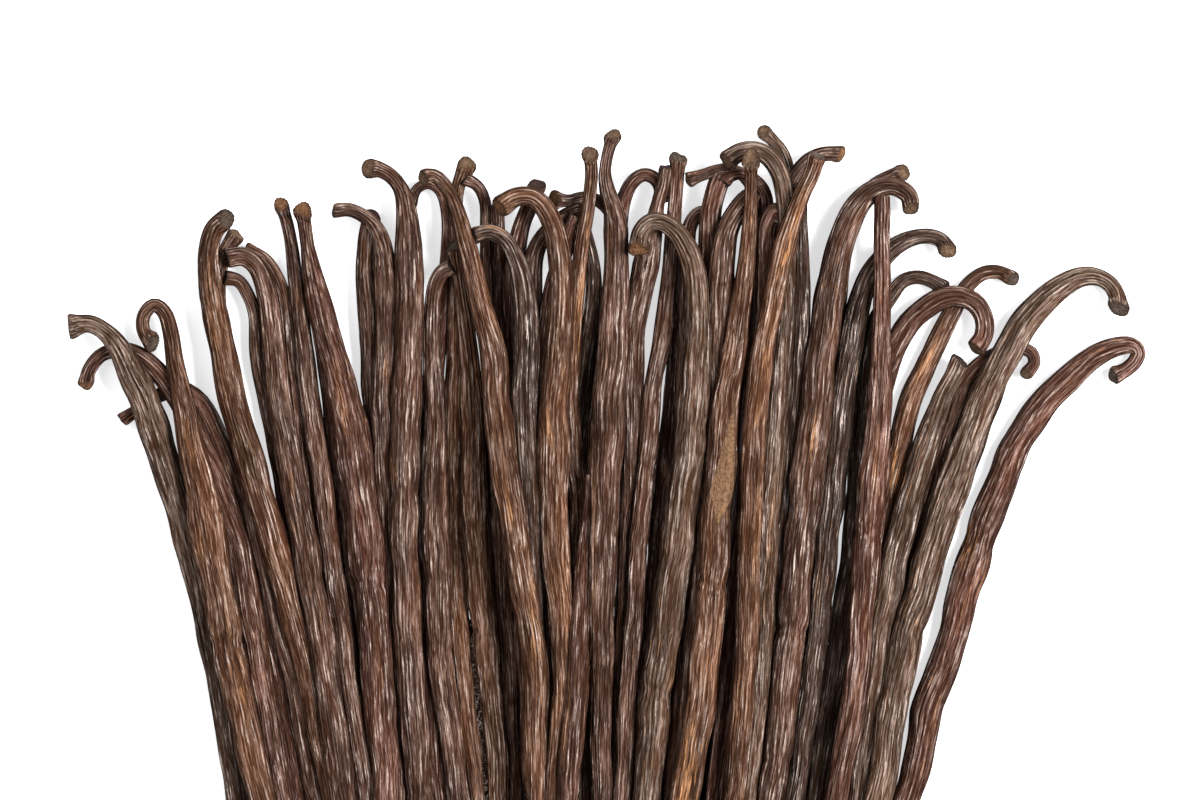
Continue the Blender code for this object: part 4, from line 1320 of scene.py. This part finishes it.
@dataclass
class VanillaPod:
    """One cured pod: its centre line, its wrinkled skin and its stem head.

    Attributes:
        number: Its place in the order in which the pods are laid down.
        plan: How it is drawn.
        layer: How finely it is meshed.
        clearance: How far it is kept off what it lies on.
    """

    number: int
    plan: PodPlan
    layer: Layer
    clearance: float = 0.3

    def __post_init__(self) -> None:
        """Work out the centre line on the plan."""
        self.draw = np.random.default_rng(SEED + self.number)
        self.course = self.lay_out()

    def lay_out(self) -> Course:
        """Draw the centre line, with its kinks, its slight waves and its width.

        Returns:
            The course of the pod, not yet laid on the pile.
        """
        plan = self.plan
        first, second = np.asarray(plan.hook[0]), np.asarray(plan.hook[1])
        face = first + (first - second) * FORM.head_reach / np.linalg.norm(first - second)
        body = [(x, y) for x, y in zip(plan.body, LEVELS) if x is not None]
        foot_y = body[-1][1] + FORM.foot_spread * math.sin(FORM.foot_phase * self.number)
        route = [face, *plan.hook[1:], *body[:-1], (body[-1][0], foot_y)]
        along, path = smooth_path(route, STEP)
        waves = FORM.wobble * rolling(np.zeros(1), along, self.draw, (0, 0), FORM.wobble_pitch)
        waves *= smoothstep(FORM.wobble_from, 2.0 * FORM.wobble_from, along)
        path = path + leftward(path) * waves[:, None]
        uneven = 1.0 + FORM.unevenness * rolling(np.zeros(1), along, self.draw, (0, 0), FORM.uneven_pitch)
        uneven = 1.0 + (uneven - 1.0) * smoothstep(0.5 * FORM.wobble_from, FORM.wobble_from, along)
        self.knuckles = [
            (float(np.interp(-crease.level, -path[:, 1], along)), crease.strength, crease.shift)
            for crease in self.all_creases(path)
        ]
        for at, strength, shift in self.knuckles:
            near = along - at
            path[:, 0] += shift * bell(near, KNUCKLE.kink_length)
            if strength > 0.0:
                before = bell(near - KNUCKLE.side_at, KNUCKLE.side_length)
                after = bell(near + KNUCKLE.side_at, KNUCKLE.side_length)
                uneven *= 1.0 - KNUCKLE.pinch * strength * bell(near, KNUCKLE.pinch_length)
                uneven *= 1.0 + KNUCKLE.side * strength * (before + after)
            else:
                uneven *= 1.0 - KNUCKLE.swelling * strength * bell(near, KNUCKLE.swelling_length)
        width = self.width_along(along) * uneven
        blend = np.clip((along - FORM.neck_length) / (FORM.body_at - FORM.neck_length), 0.0, 1.0)
        flatness = FORM.flatness_neck + (FORM.flatness_body - FORM.flatness_neck) * blend
        return Course(along, path, width, width * flatness)

    def all_creases(self, path: Array) -> list[Crease]:
        """Add a few faint creases at random to the drawn ones.

        Args:
            path: The centre line on the plan.

        Returns:
            The creases that lie clear of the head.
        """
        draw = self.draw
        faint = [
            Crease(float(draw.uniform(*KNUCKLE.faint_levels)), float(draw.uniform(*KNUCKLE.faint_strength)))
            for _ in range(draw.integers(*KNUCKLE.faint_count))
        ]
        highest = path[:, 1].max() - KNUCKLE.below_head
        return [crease for crease in [*self.plan.creases, *faint] if crease.level < highest]

    def width_along(self, along: Array) -> Array:
        """Full width of the pod, which runs straight from each named width to the next.

        Args:
            along: Distances from the stem head.

        Returns:
            The width at each, without the head's flare.
        """
        neck, shoulder, body, low = self.plan.widths
        total = along[-1]
        marks = (
            0.0, FORM.neck_length, FORM.shoulder_at, FORM.body_at,
            total - FORM.low_from_end, total - FORM.tip_length, total,
        )
        values = (
            neck, neck, shoulder, body, low, low * FORM.tip_start_width, low * FORM.tip_end_width,
        )
        return np.interp(along, marks, values)

    def stations(self) -> Array:
        """Spread the rings: close in the head and at creases, wide where nothing shows.

        Returns:
            The distance of each ring from the stem head.
        """
        fine = np.linspace(0.0, self.course.along[-1], PITCH.samples)
        pitch = self.layer.value[1]
        need = 1.0 / pitch + (1.0 / PITCH.head - 1.0 / pitch) * bell(fine, PITCH.head_zone)
        for at, strength, _ in self.knuckles:
            if strength > KNUCKLE.close_rings_from:
                need += (1.0 / PITCH.crease - 1.0 / pitch) * bell(fine - at, PITCH.crease_zone)
        for mark in self.plan.marks:
            if mark.stain is Stain.CORK:
                level = -np.interp(fine, self.course.along, self.course.path[:, 1])
                inside = level > -mark.start[1] - PITCH.scar_margin
                inside &= level < PITCH.scar_margin - mark.end[1]
                need = np.where(inside, 1.0 / PITCH.crease, need)
        if self.layer is Layer.LOWEST:
            hidden = (fine > PITCH.hidden_from) & (fine < self.course.along[-1] - FORM.tip_length)
            need = np.where(hidden, 1.0 / PITCH.hidden, need)
        total = np.concatenate(([0.0], np.cumsum(0.5 * (need[1:] + need[:-1]) * np.diff(fine))))
        return np.interp(np.linspace(0.0, total[-1], int(total[-1]) + 1), total, fine)

    def build(self, name: str) -> bpy.types.Object:
        """Build the pod's mesh.

        A ring stands square to the centre line at each station: an ellipse,
        pushed out along its own normal by ribs, wrinkles and lumps. Rings of
        shrinking size close the cut face of the head, and the last rings
        round off the blossom end.

        Args:
            name: The object's name.

        Returns:
            The pod, with the attributes that its skin reads.
        """
        around = self.layer.value[0]
        share = np.arange(around) / around
        turn = (TURN * share - 0.25 * TURN + PITCH.top_density * np.sin(TURN * share))[None, :]
        course, plan = self.course, self.plan
        tube = self.stations()
        cap = np.array(HEAD.face_rings)
        along = np.concatenate([np.zeros(len(cap)), tube])
        lip = 1.0 - HEAD.lip * bell(tube, HEAD.lip_length)
        to_end = (1.0 - (along[-1] - tube) / FORM.blunt_length).clip(0.0)
        closing = np.sqrt(np.clip(1.0 - to_end**2, FORM.blunt_least, 1.0))
        radius = np.concatenate([cap * HEAD.face_width, lip * closing])[:, None]
        s = along[:, None]

        across = np.interp(along, course.along, course.width)
        flare = (plan.head - plan.widths[0] + FORM.knob) * bell(along, plan.flare)
        across = (across + flare)[:, None]
        high = np.interp(along, course.along, course.thickness)
        high = (high + flare * FORM.flatness_neck)[:, None]
        half_w, half_h = 0.5 * across * radius, 0.5 * high * radius

        centre, tangent, side, up = self.frames(along)
        blank = centre[:, None, :] + side[:, None, :] * (half_w * np.cos(turn))[..., None]
        rust_share, cork_share = self.stains(blank, turn)
        ridge, push = self.relief(turn, s, across, cork_share)
        onto_face = np.concatenate([cap, np.ones(len(tube))])[:, None] ** 2
        push = push * onto_face * np.clip(radius, 0.0, 1.0)
        rim = self.draw.uniform(*HEAD.rim) * plan.head
        rim = rim * rolling(turn, s * 0.0, self.draw, (1, 3), HEAD.once_round, 4)
        push = push + rim * bell(s, HEAD.rim_flares * plan.flare) * radius

        normal_w, normal_h = np.cos(turn) / half_w, np.sin(turn) / half_h
        size = np.hypot(normal_w, normal_h)
        out_w = half_w * np.cos(turn) + push * normal_w / size
        out_h = half_h * np.sin(turn) + push * normal_h / size

        facing = self.draw.uniform(0.0, TURN)
        slant = self.draw.uniform(*HEAD.slant) * np.cos(turn - facing) * 0.5 * plan.head * radius
        upturn = math.tan(math.radians(FORM.bevel * plan.face))
        slant = slant - upturn * half_h * np.sin(turn)
        torn = HEAD.tear * rolling(turn, s * 0.0, self.draw, (1, 4), HEAD.once_round, 5)
        dome = self.draw.uniform(*HEAD.dome) * (1.0 - radius**2) * (s == 0.0)
        ahead = (slant + torn * radius) * bell(s, HEAD.slant_length) + dome
        points = (
            centre[:, None, :]
            + side[:, None, :] * out_w[..., None]
            + up[:, None, :] * out_h[..., None]
            - tangent[:, None, :] * ahead[..., None]
        )
        first = centre[0] - tangent[0] * float(dome[0, 0])
        last = centre[-1] + tangent[-1] * FORM.nose
        obj = closed_mesh(name, points * MILLIMETRE, first * MILLIMETRE, last * MILLIMETRE)
        self.dress(obj.data, turn, s, (half_w, half_h), (ridge, rust_share, cork_share), len(cap))
        return obj

    def frames(self, along: Array) -> tuple[Array, Array, Array, Array]:
        """Centre points and the three directions of each ring.

        The head's end turns up by the plan's angle over a few millimetres.

        Args:
            along: Distances of the rings.

        Returns:
            Centres, tangents, sideways vectors and upward vectors.
        """
        course = self.course
        tilt = math.tan(math.radians(self.plan.face))
        rise = course.rise + self.clearance + tilt * HEAD.curl * np.exp(-course.along / HEAD.curl)
        spine = np.column_stack([course.path, rise])
        tangent = np.gradient(spine, course.along, axis=0)
        tangent[0] = tangent[1] * 2.0 - tangent[2]
        centre = np.column_stack([np.interp(along, course.along, spine[:, k]) for k in range(3)])
        tangent = np.column_stack([np.interp(along, course.along, tangent[:, k]) for k in range(3)])
        tangent /= np.linalg.norm(tangent, axis=1)[:, None]
        side = np.column_stack([-tangent[:, 1], tangent[:, 0], np.zeros(len(tangent))])
        side /= np.linalg.norm(side, axis=1)[:, None]
        return centre, tangent, side, np.cross(tangent, side)

    def relief(self, turn: Array, s: Array, across: Array, cork: Array) -> tuple[Array, Array]:
        """Ribs and wrinkles: ridge rows at wandering phases, broken up by rolling noise.

        Ribs on the neck give way to wrinkles on the body, finer wrinkles lie
        over both, and each knuckle sinks two folds across them.

        Args:
            turn: Angle round the pod.
            s: Distance along it.
            across: Its full width there.
            cork: How much cork covers each point, which flattens it.

        Returns:
            How far each point is up its ridge, from -1 to 1, and how far it is pushed out.
        """
        draw = self.draw
        ribs = int(draw.integers(*RELIEF.ribs))
        twist = draw.uniform(-RELIEF.twist, RELIEF.twist)
        fold = np.zeros_like(turn * s)
        swirl = np.zeros_like(fold)
        for at, strength, _ in self.knuckles:
            if strength <= 0.0:
                continue
            lead = draw.uniform(0.0, TURN)
            line = at + KNUCKLE.fold_sway * np.sin(turn + lead)
            facing = draw.uniform(*KNUCKLE.faces) * math.pi
            cover = (1.0 - KNUCKLE.faced) + KNUCKLE.faced * np.cos(turn - facing)
            first_fold = bell(s - line, KNUCKLE.fold_length)
            next_fold = KNUCKLE.next_fold * bell(s - line - KNUCKLE.next_fold_at, KNUCKLE.next_fold_length)
            fold += KNUCKLE.fold * strength * cover * (first_fold + next_fold)
            around = np.sin(turn * 2.0 + lead)
            swirl += KNUCKLE.swirl * strength * bell(s - at, KNUCKLE.swirl_length) * around
        bent = turn + swirl
        sway = RELIEF.rib_sway * rolling(bent, s, draw, (1, 3), RELIEF.rib_sway_pitch)
        neck = crest(ribs * (bent + twist * s) + sway, RELIEF.rib_crest)
        wrinkles = folded(rolling(bent, s, draw, RELIEF.wrinkles, RELIEF.wrinkle_pitch, 18))
        fine = folded(rolling(bent, s, draw, RELIEF.fine, RELIEF.fine_pitch, 20))
        lumps = rolling(turn, s, draw, (1, 3), RELIEF.lump_pitch)
        bodily = smoothstep(*RELIEF.body_from, s)
        main = (1.0 - RELIEF.wrinkled * bodily) * neck + RELIEF.wrinkled * bodily * wrinkles
        fine_rise = RELIEF.fine_rise[0] + RELIEF.fine_rise[1] * bodily
        ridge = np.clip(RELIEF.main_rise * main + fine_rise * fine, -1.0, 1.0)
        depth = RELIEF.depth_least + RELIEF.depth * across
        fine_share = RELIEF.fine_share * (RELIEF.neck_fine + (1.0 - RELIEF.neck_fine) * bodily)
        push = depth * (main + fine_share * fine)
        push = (push - RELIEF.sunk * depth) * (1.0 - RELIEF.cork_smooth * cork)
        push += RELIEF.lump * across * lumps * bodily * (1.0 - cork) - fold
        return ridge * (1.0 - cork) - RELIEF.fold_valley * fold, push

    def stains(self, blank: Array, turn: Array) -> tuple[Array, Array]:
        """Where rust and cork lie, from the marks drawn on the plan.

        A mark is a spindle: its half width swells from its start to nearly
        three quarters of its length and closes at its end.

        Args:
            blank: The rings' points before any relief.
            turn: Angle round the pod.

        Returns:
            The rust's share and the cork's share of each point.
        """
        shares = {stain: np.zeros(blank.shape[:2]) for stain in Stain}
        for mark in self.plan.marks:
            start, line = np.asarray(mark.start), np.asarray(mark.end) - np.asarray(mark.start)
            length = np.linalg.norm(line)
            apart = blank[..., :2] - start
            t = (apart @ line) / length**2
            off = np.abs(apart[..., 0] * line[1] - apart[..., 1] * line[0]) / length
            swelling = (t / SPINDLE.widest).clip(0.0) ** SPINDLE.swell
            closing = ((1.0 - t) / (1.0 - SPINDLE.widest)).clip(0.0) ** SPINDLE.close
            half = 0.5 * mark.width * np.where(t < SPINDLE.widest, swelling, closing)
            inside = smoothstep(-mark.stain.value, mark.stain.value, half - off)
            inside *= mark.strength * (t > 0.0) * (t < 1.0) * smoothstep(*SPINDLE.upper_side, np.sin(turn))
            shares[mark.stain] = np.maximum(shares[mark.stain], inside)
        return shares[Stain.RUST], shares[Stain.CORK]

    def dress(
        self, mesh: bpy.types.Mesh, turn: Array, s: Array, half: tuple[Array, Array],
        shares: tuple[Array, Array, Array], cap: int,
    ) -> None:
        """Write the attributes and the UV map that the skin reads.

        Args:
            mesh: The pod's mesh.
            turn: Angle round the pod.
            s: Distance along it, for each ring.
            half: Half width and half thickness of each ring.
            shares: Ridge height, rust and cork of each point.
            cap: How many rings lie on the cut face.
        """
        ridge, rust_share, scar = shares
        half_w, half_h = half
        waver = SHADING.waver * rolling(turn, s, self.draw, (0, 4), SHADING.waver_pitch, 9)
        # Painted shade: the ridge height is lowered on the sides and underside, which darkens the colour
        # there, keeps the painted crest highlights off and flattens the bump
        sunk = 1.0 - smoothstep(*SHADING.shade_sink_range, np.sin(turn))
        ridge = ridge - SHADING.flank_shade_sink * sunk
        down_pod = s + SHADING.apart * self.number + 0.0 * turn
        straight = np.stack([half_w * np.cos(turn) + waver, half_h * np.sin(turn), down_pod], axis=-1)
        rings, around = ridge.shape
        onto_face = np.zeros((rings, around))
        onto_face[:cap] = 1.0
        onto_face[cap] = SHADING.rim_share
        face_shade = np.ones((rings, 1))
        face_shade[: cap + 1, 0] = np.linspace(*SHADING.rim, cap + 1)
        flesh = np.array(linear(self.plan.tone.value))
        cut = np.array(linear(self.plan.cut.value))
        scar_colour = np.array(linear(SHADING.scar_colour))
        shade = 1.0 + SHADING.patches * rolling(turn, s, self.draw, (0, 2), SHADING.patch_pitch)
        # Painted shade: the flesh goes darker and redder towards the sides and underside
        painted_flank_shade = SHADING.painted_flank_shade + (1.0 - SHADING.painted_flank_shade) * smoothstep(*SHADING.flank_shade_range, np.sin(turn))
        colour = flesh * shade[..., None] * painted_flank_shade[..., None] ** np.array(SHADING.flank_shade_warmth)
        colour = colour * (1.0 - scar[..., None]) + scar_colour * scar[..., None]
        colour = colour * (1.0 - SHADING.scar_edge * scar * (1.0 - scar))[..., None]
        colour = colour * (1.0 - onto_face[..., None]) + cut * (face_shade * onto_face)[..., None]
        colour = np.concatenate([colour, np.ones((rings, around, 1))], axis=-1)
        add_attribute(mesh, "flesh", "FLOAT_COLOR", colour)
        add_attribute(mesh, "skin_mm", "FLOAT_VECTOR", straight)
        for name, grid in (("ridge", ridge), ("rust", rust_share), ("cork", np.maximum(scar, onto_face))):
            add_attribute(mesh, name, "FLOAT", grid)
        add_strip_map(mesh, rings, around, np.linspace(0.0, 1.0, rings + 2)[1:-1])


@dataclass
class HeapCore:
    """The low body inside the heap, which the pods hide, coloured dark as painted shade where it shows
    between them.

    Attributes:
        centre_x: Its middle on the plan at its upper and its lower end.
        half_width: Half its width at the two ends.
        top_y: Y of its upper end.
        low_y: Y of its lower end.
        height: Its full height.
        colour: Colour of its flesh, dark as painted shade.
        lift: How far it is kept off the table.
        ribs: How many ribs run along it.
        rib_sway: How far they wander, in turns of a rib.
        rib_height: How high they are.
        rings: How many rings of points it has.
        around: How many points each ring has.
    """

    centre_x: Range = (-6.0, -3.0)
    half_width: Range = (60.0, 52.0)
    top_y: float = -48.0
    low_y: float = -104.0
    height: float = 2.6
    # Painted shade: as dark as pods lying in shade deep in the heap
    colour: str = "#2C1E17"
    lift: float = 0.1
    ribs: float = 40.0
    rib_sway: float = 2.0
    rib_height: float = 0.25
    rings: int = 60
    around: int = 480

    def build(self, name: str) -> bpy.types.Object:
        """Build the core as one flat ring-mesh with a ribbed top.

        Args:
            name: The object's name.

        Returns:
            The core, with the attributes that the pods' skin reads.
        """
        rings, around = self.rings, self.around
        v = np.linspace(0.0, 1.0, rings)[:, None]
        turn = (TURN * np.arange(around) / around - 0.25 * TURN)[None, :]
        closing = np.clip(1.0 - (2.0 * v - 1.0) ** 8, 0.02, 1.0) ** 0.5
        half = (self.half_width[0] + (self.half_width[1] - self.half_width[0]) * v) * closing
        draw = np.random.default_rng(SEED - 1)
        along = (self.top_y - self.low_y) * v
        sway = self.rib_sway * rolling(turn, along, draw, (1, 6), (20.0, 60.0))
        ribs = crest(self.ribs * turn + sway, RELIEF.rib_crest) * (np.sin(turn) > 0.0)
        tall = self.height * closing
        x = self.centre_x[0] + (self.centre_x[1] - self.centre_x[0]) * v + half * squared(np.cos(turn))
        y = self.top_y + (self.low_y - self.top_y) * v + 0.0 * turn
        z = self.lift + 0.5 * tall * (1.0 + squared(np.sin(turn))) + self.rib_height * ribs * closing
        points = np.stack([x, y, z], axis=-1)
        first, last = points[0].mean(axis=0), points[-1].mean(axis=0)
        obj = closed_mesh(name, points * MILLIMETRE, first * MILLIMETRE, last * MILLIMETRE)
        flesh = np.broadcast_to((*linear(self.colour), 1.0), (rings, around, 4))
        add_attribute(obj.data, "flesh", "FLOAT_COLOR", flesh)
        add_attribute(obj.data, "skin_mm", "FLOAT_VECTOR", points)
        add_attribute(obj.data, "ridge", "FLOAT", ribs)
        for stain in ("rust", "cork"):
            add_attribute(obj.data, stain, "FLOAT", np.zeros((rings, around)))
        add_strip_map(obj.data, rings, around, np.linspace(0.0, 1.0, rings + 2)[1:-1])
        return obj


@dataclass
class PodBundle:
    """All the pods and the core under them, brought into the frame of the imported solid."""

    margin: float = 10.0
    skin: CuredPodSkin = field(default_factory=CuredPodSkin)

    def build(self) -> Array:
        """Build, place and dress every piece.

        Returns:
            The plan's middle, in millimetres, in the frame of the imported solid.
        """
        plans = [(plan, layer) for layer in Layer for plan in PODS[layer]]
        pods = [VanillaPod(number, plan, layer) for number, (plan, layer) in enumerate(plans)]
        every = np.concatenate([pod.course.path for pod in pods])
        pile = Pile(every.min(axis=0) - self.margin, every.max(axis=0) + self.margin)
        for pod in pods:
            pile.lay(pod.course)
        shift = self.shift_of(pods)
        material = self.skin.build()
        pieces = [HeapCore().build("heap_core")]
        pieces += [pod.build(f"vanilla_pod_{pod.number + 1:02d}") for pod in pods]
        for piece in pieces:
            self.place(piece, shift, material)
        LOG.info("%d pods and a core, %d triangles", len(pods), sum(self.triangles(p) for p in pieces))
        return shift

    def shift_of(self, pods: Sequence[VanillaPod]) -> Array:
        """How far the plan moves to bring its outline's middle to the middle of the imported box.

        Args:
            pods: All the pods.

        Returns:
            The move in X, Y and Z, in millimetres.
        """
        edges = np.concatenate(
            [
                pod.course.path + sign * 0.5 * leftward(pod.course.path) * pod.course.width[:, None]
                for pod in pods
                for sign in (-1.0, 1.0)
            ]
        )
        middle = 0.5 * (edges.min(axis=0) + edges.max(axis=0))
        low, high = (np.array(corner) / MILLIMETRE for corner in CAD_BOX)
        return np.array([*(0.5 * (low + high)[:2] - middle), low[2]])

    def place(self, piece: bpy.types.Object, shift: Array, material: bpy.types.Material) -> None:
        """Args:
            piece: The piece.
            shift: The move from the plan to the frame, in millimetres.
            material: The pods' skin.
        """
        flat = np.zeros(3 * len(piece.data.vertices), dtype=np.float32)
        piece.data.vertices.foreach_get("co", flat)
        moved = flat.reshape(-1, 3) + shift * MILLIMETRE
        piece.data.vertices.foreach_set("co", moved.astype(np.float32).ravel())
        piece.data.update()
        piece.data.materials.append(material)
        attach(piece, "root")
        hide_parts("pod_bundle")
        LOG.info("%s: %d triangles", piece.name, self.triangles(piece))

    def triangles(self, piece: bpy.types.Object) -> int:
        """How many triangles a piece has."""
        return sum(len(face.vertices) - 2 for face in piece.data.polygons)


@dataclass(frozen=True)
class SoftLight:
    """A square soft light that faces the bundle.

    Attributes:
        name: Its name.
        place: Where it hangs, in metres.
        side: Its side, in metres.
        power: Its power in watts.
    """

    name: str
    place: tuple[float, float, float]
    side: float
    power: float

    def hang(self) -> None:
        """Hang the light and turn it towards the bundle."""
        data = bpy.data.lights.new(self.name, "AREA")
        data.size = self.side
        data.energy = self.power
        light = bpy.data.objects.new(self.name, data)
        light.location = self.place
        away = np.array(self.place) / np.linalg.norm(self.place)
        light.rotation_euler = (0.0, math.acos(away[2]), math.atan2(away[1], away[0]))
        bpy.context.scene.collection.objects.link(light)


@dataclass
class Studio:
    """The table, the lights and the camera that looks straight down.

    Attributes:
        table_side: Side of the table, in metres.
        view_width: Width of the plan that the camera sees, in metres.
        camera_height: How high the camera hangs, in metres.
        view_depth: How far the camera sees, in metres.
        sensor: Width of the camera's sensor, in millimetres.
        world_colour: Colour of the room's even light, as linear red, green and blue.
        world_light: Strength of that light.
        lights: The soft lights.
    """

    table_side: float = 8.0
    view_width: float = 0.26667
    camera_height: float = 3.0
    view_depth: float = 20.0
    sensor: float = 36.0
    world_colour: tuple[float, float, float] = (0.97, 0.985, 1.0)
    world_light: float = 0.30
    lights: tuple[SoftLight, ...] = (
        SoftLight("key_light", (0.85, 0.10, 1.05), 0.6, 36.0),
        SoftLight("fill_light", (-0.85, 0.25, 0.95), 0.8, 6.0),
    )

    def build(self, middle: Array) -> None:
        """Set up the studio.

        Args:
            middle: Where the middle of the plan lies in the frame, in millimetres.
        """
        aim = middle[:2] * MILLIMETRE
        self.lay_table()
        self.hang_camera(aim)
        self.light_world()
        for light in self.lights:
            light.hang()

    def lay_table(self) -> None:
        """Lay a flat white table under the bundle."""
        half = 0.5 * self.table_side
        mesh = bpy.data.meshes.new("table")
        corners = [(-half, -half, 0.0), (half, -half, 0.0), (half, half, 0.0), (-half, half, 0.0)]
        mesh.from_pydata(corners, [], [(0, 1, 2, 3)])
        mesh.materials.append(OpalPanel().build())
        table = bpy.data.objects.new("table", mesh)
        bpy.context.scene.collection.objects.link(table)

    def hang_camera(self, aim: Array) -> None:
        """Hang the camera over a point of the table, with +Y at the top of its view.

        Args:
            aim: The point, in metres.
        """
        data = bpy.data.cameras.new("camera")
        data.sensor_width = self.sensor
        data.lens = self.sensor * self.camera_height / self.view_width
        data.clip_end = self.view_depth
        camera = bpy.data.objects.new("camera", data)
        camera.location = (aim[0], aim[1], self.camera_height)
        bpy.context.scene.collection.objects.link(camera)
        bpy.context.scene.camera = camera

    def light_world(self) -> None:
        """Fill the room with even white light."""
        world = bpy.data.worlds.new("room")
        world.use_nodes = True
        background = world.node_tree.nodes["Background"]
        background.inputs["Color"].default_value = (*self.world_colour, 1.0)
        background.inputs["Strength"].default_value = self.world_light
        bpy.context.scene.world = world
        bpy.context.scene.view_settings.view_transform = "Standard"


def write_size() -> None:
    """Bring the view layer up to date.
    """
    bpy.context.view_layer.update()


def main() -> None:
    """Build the bundle and the studio."""
    logging.basicConfig(level=logging.INFO, format="%(name)s: %(message)s")
    middle = PodBundle().build()
    Studio().build(middle)
    write_size()


if __name__ == "__main__":
    main()
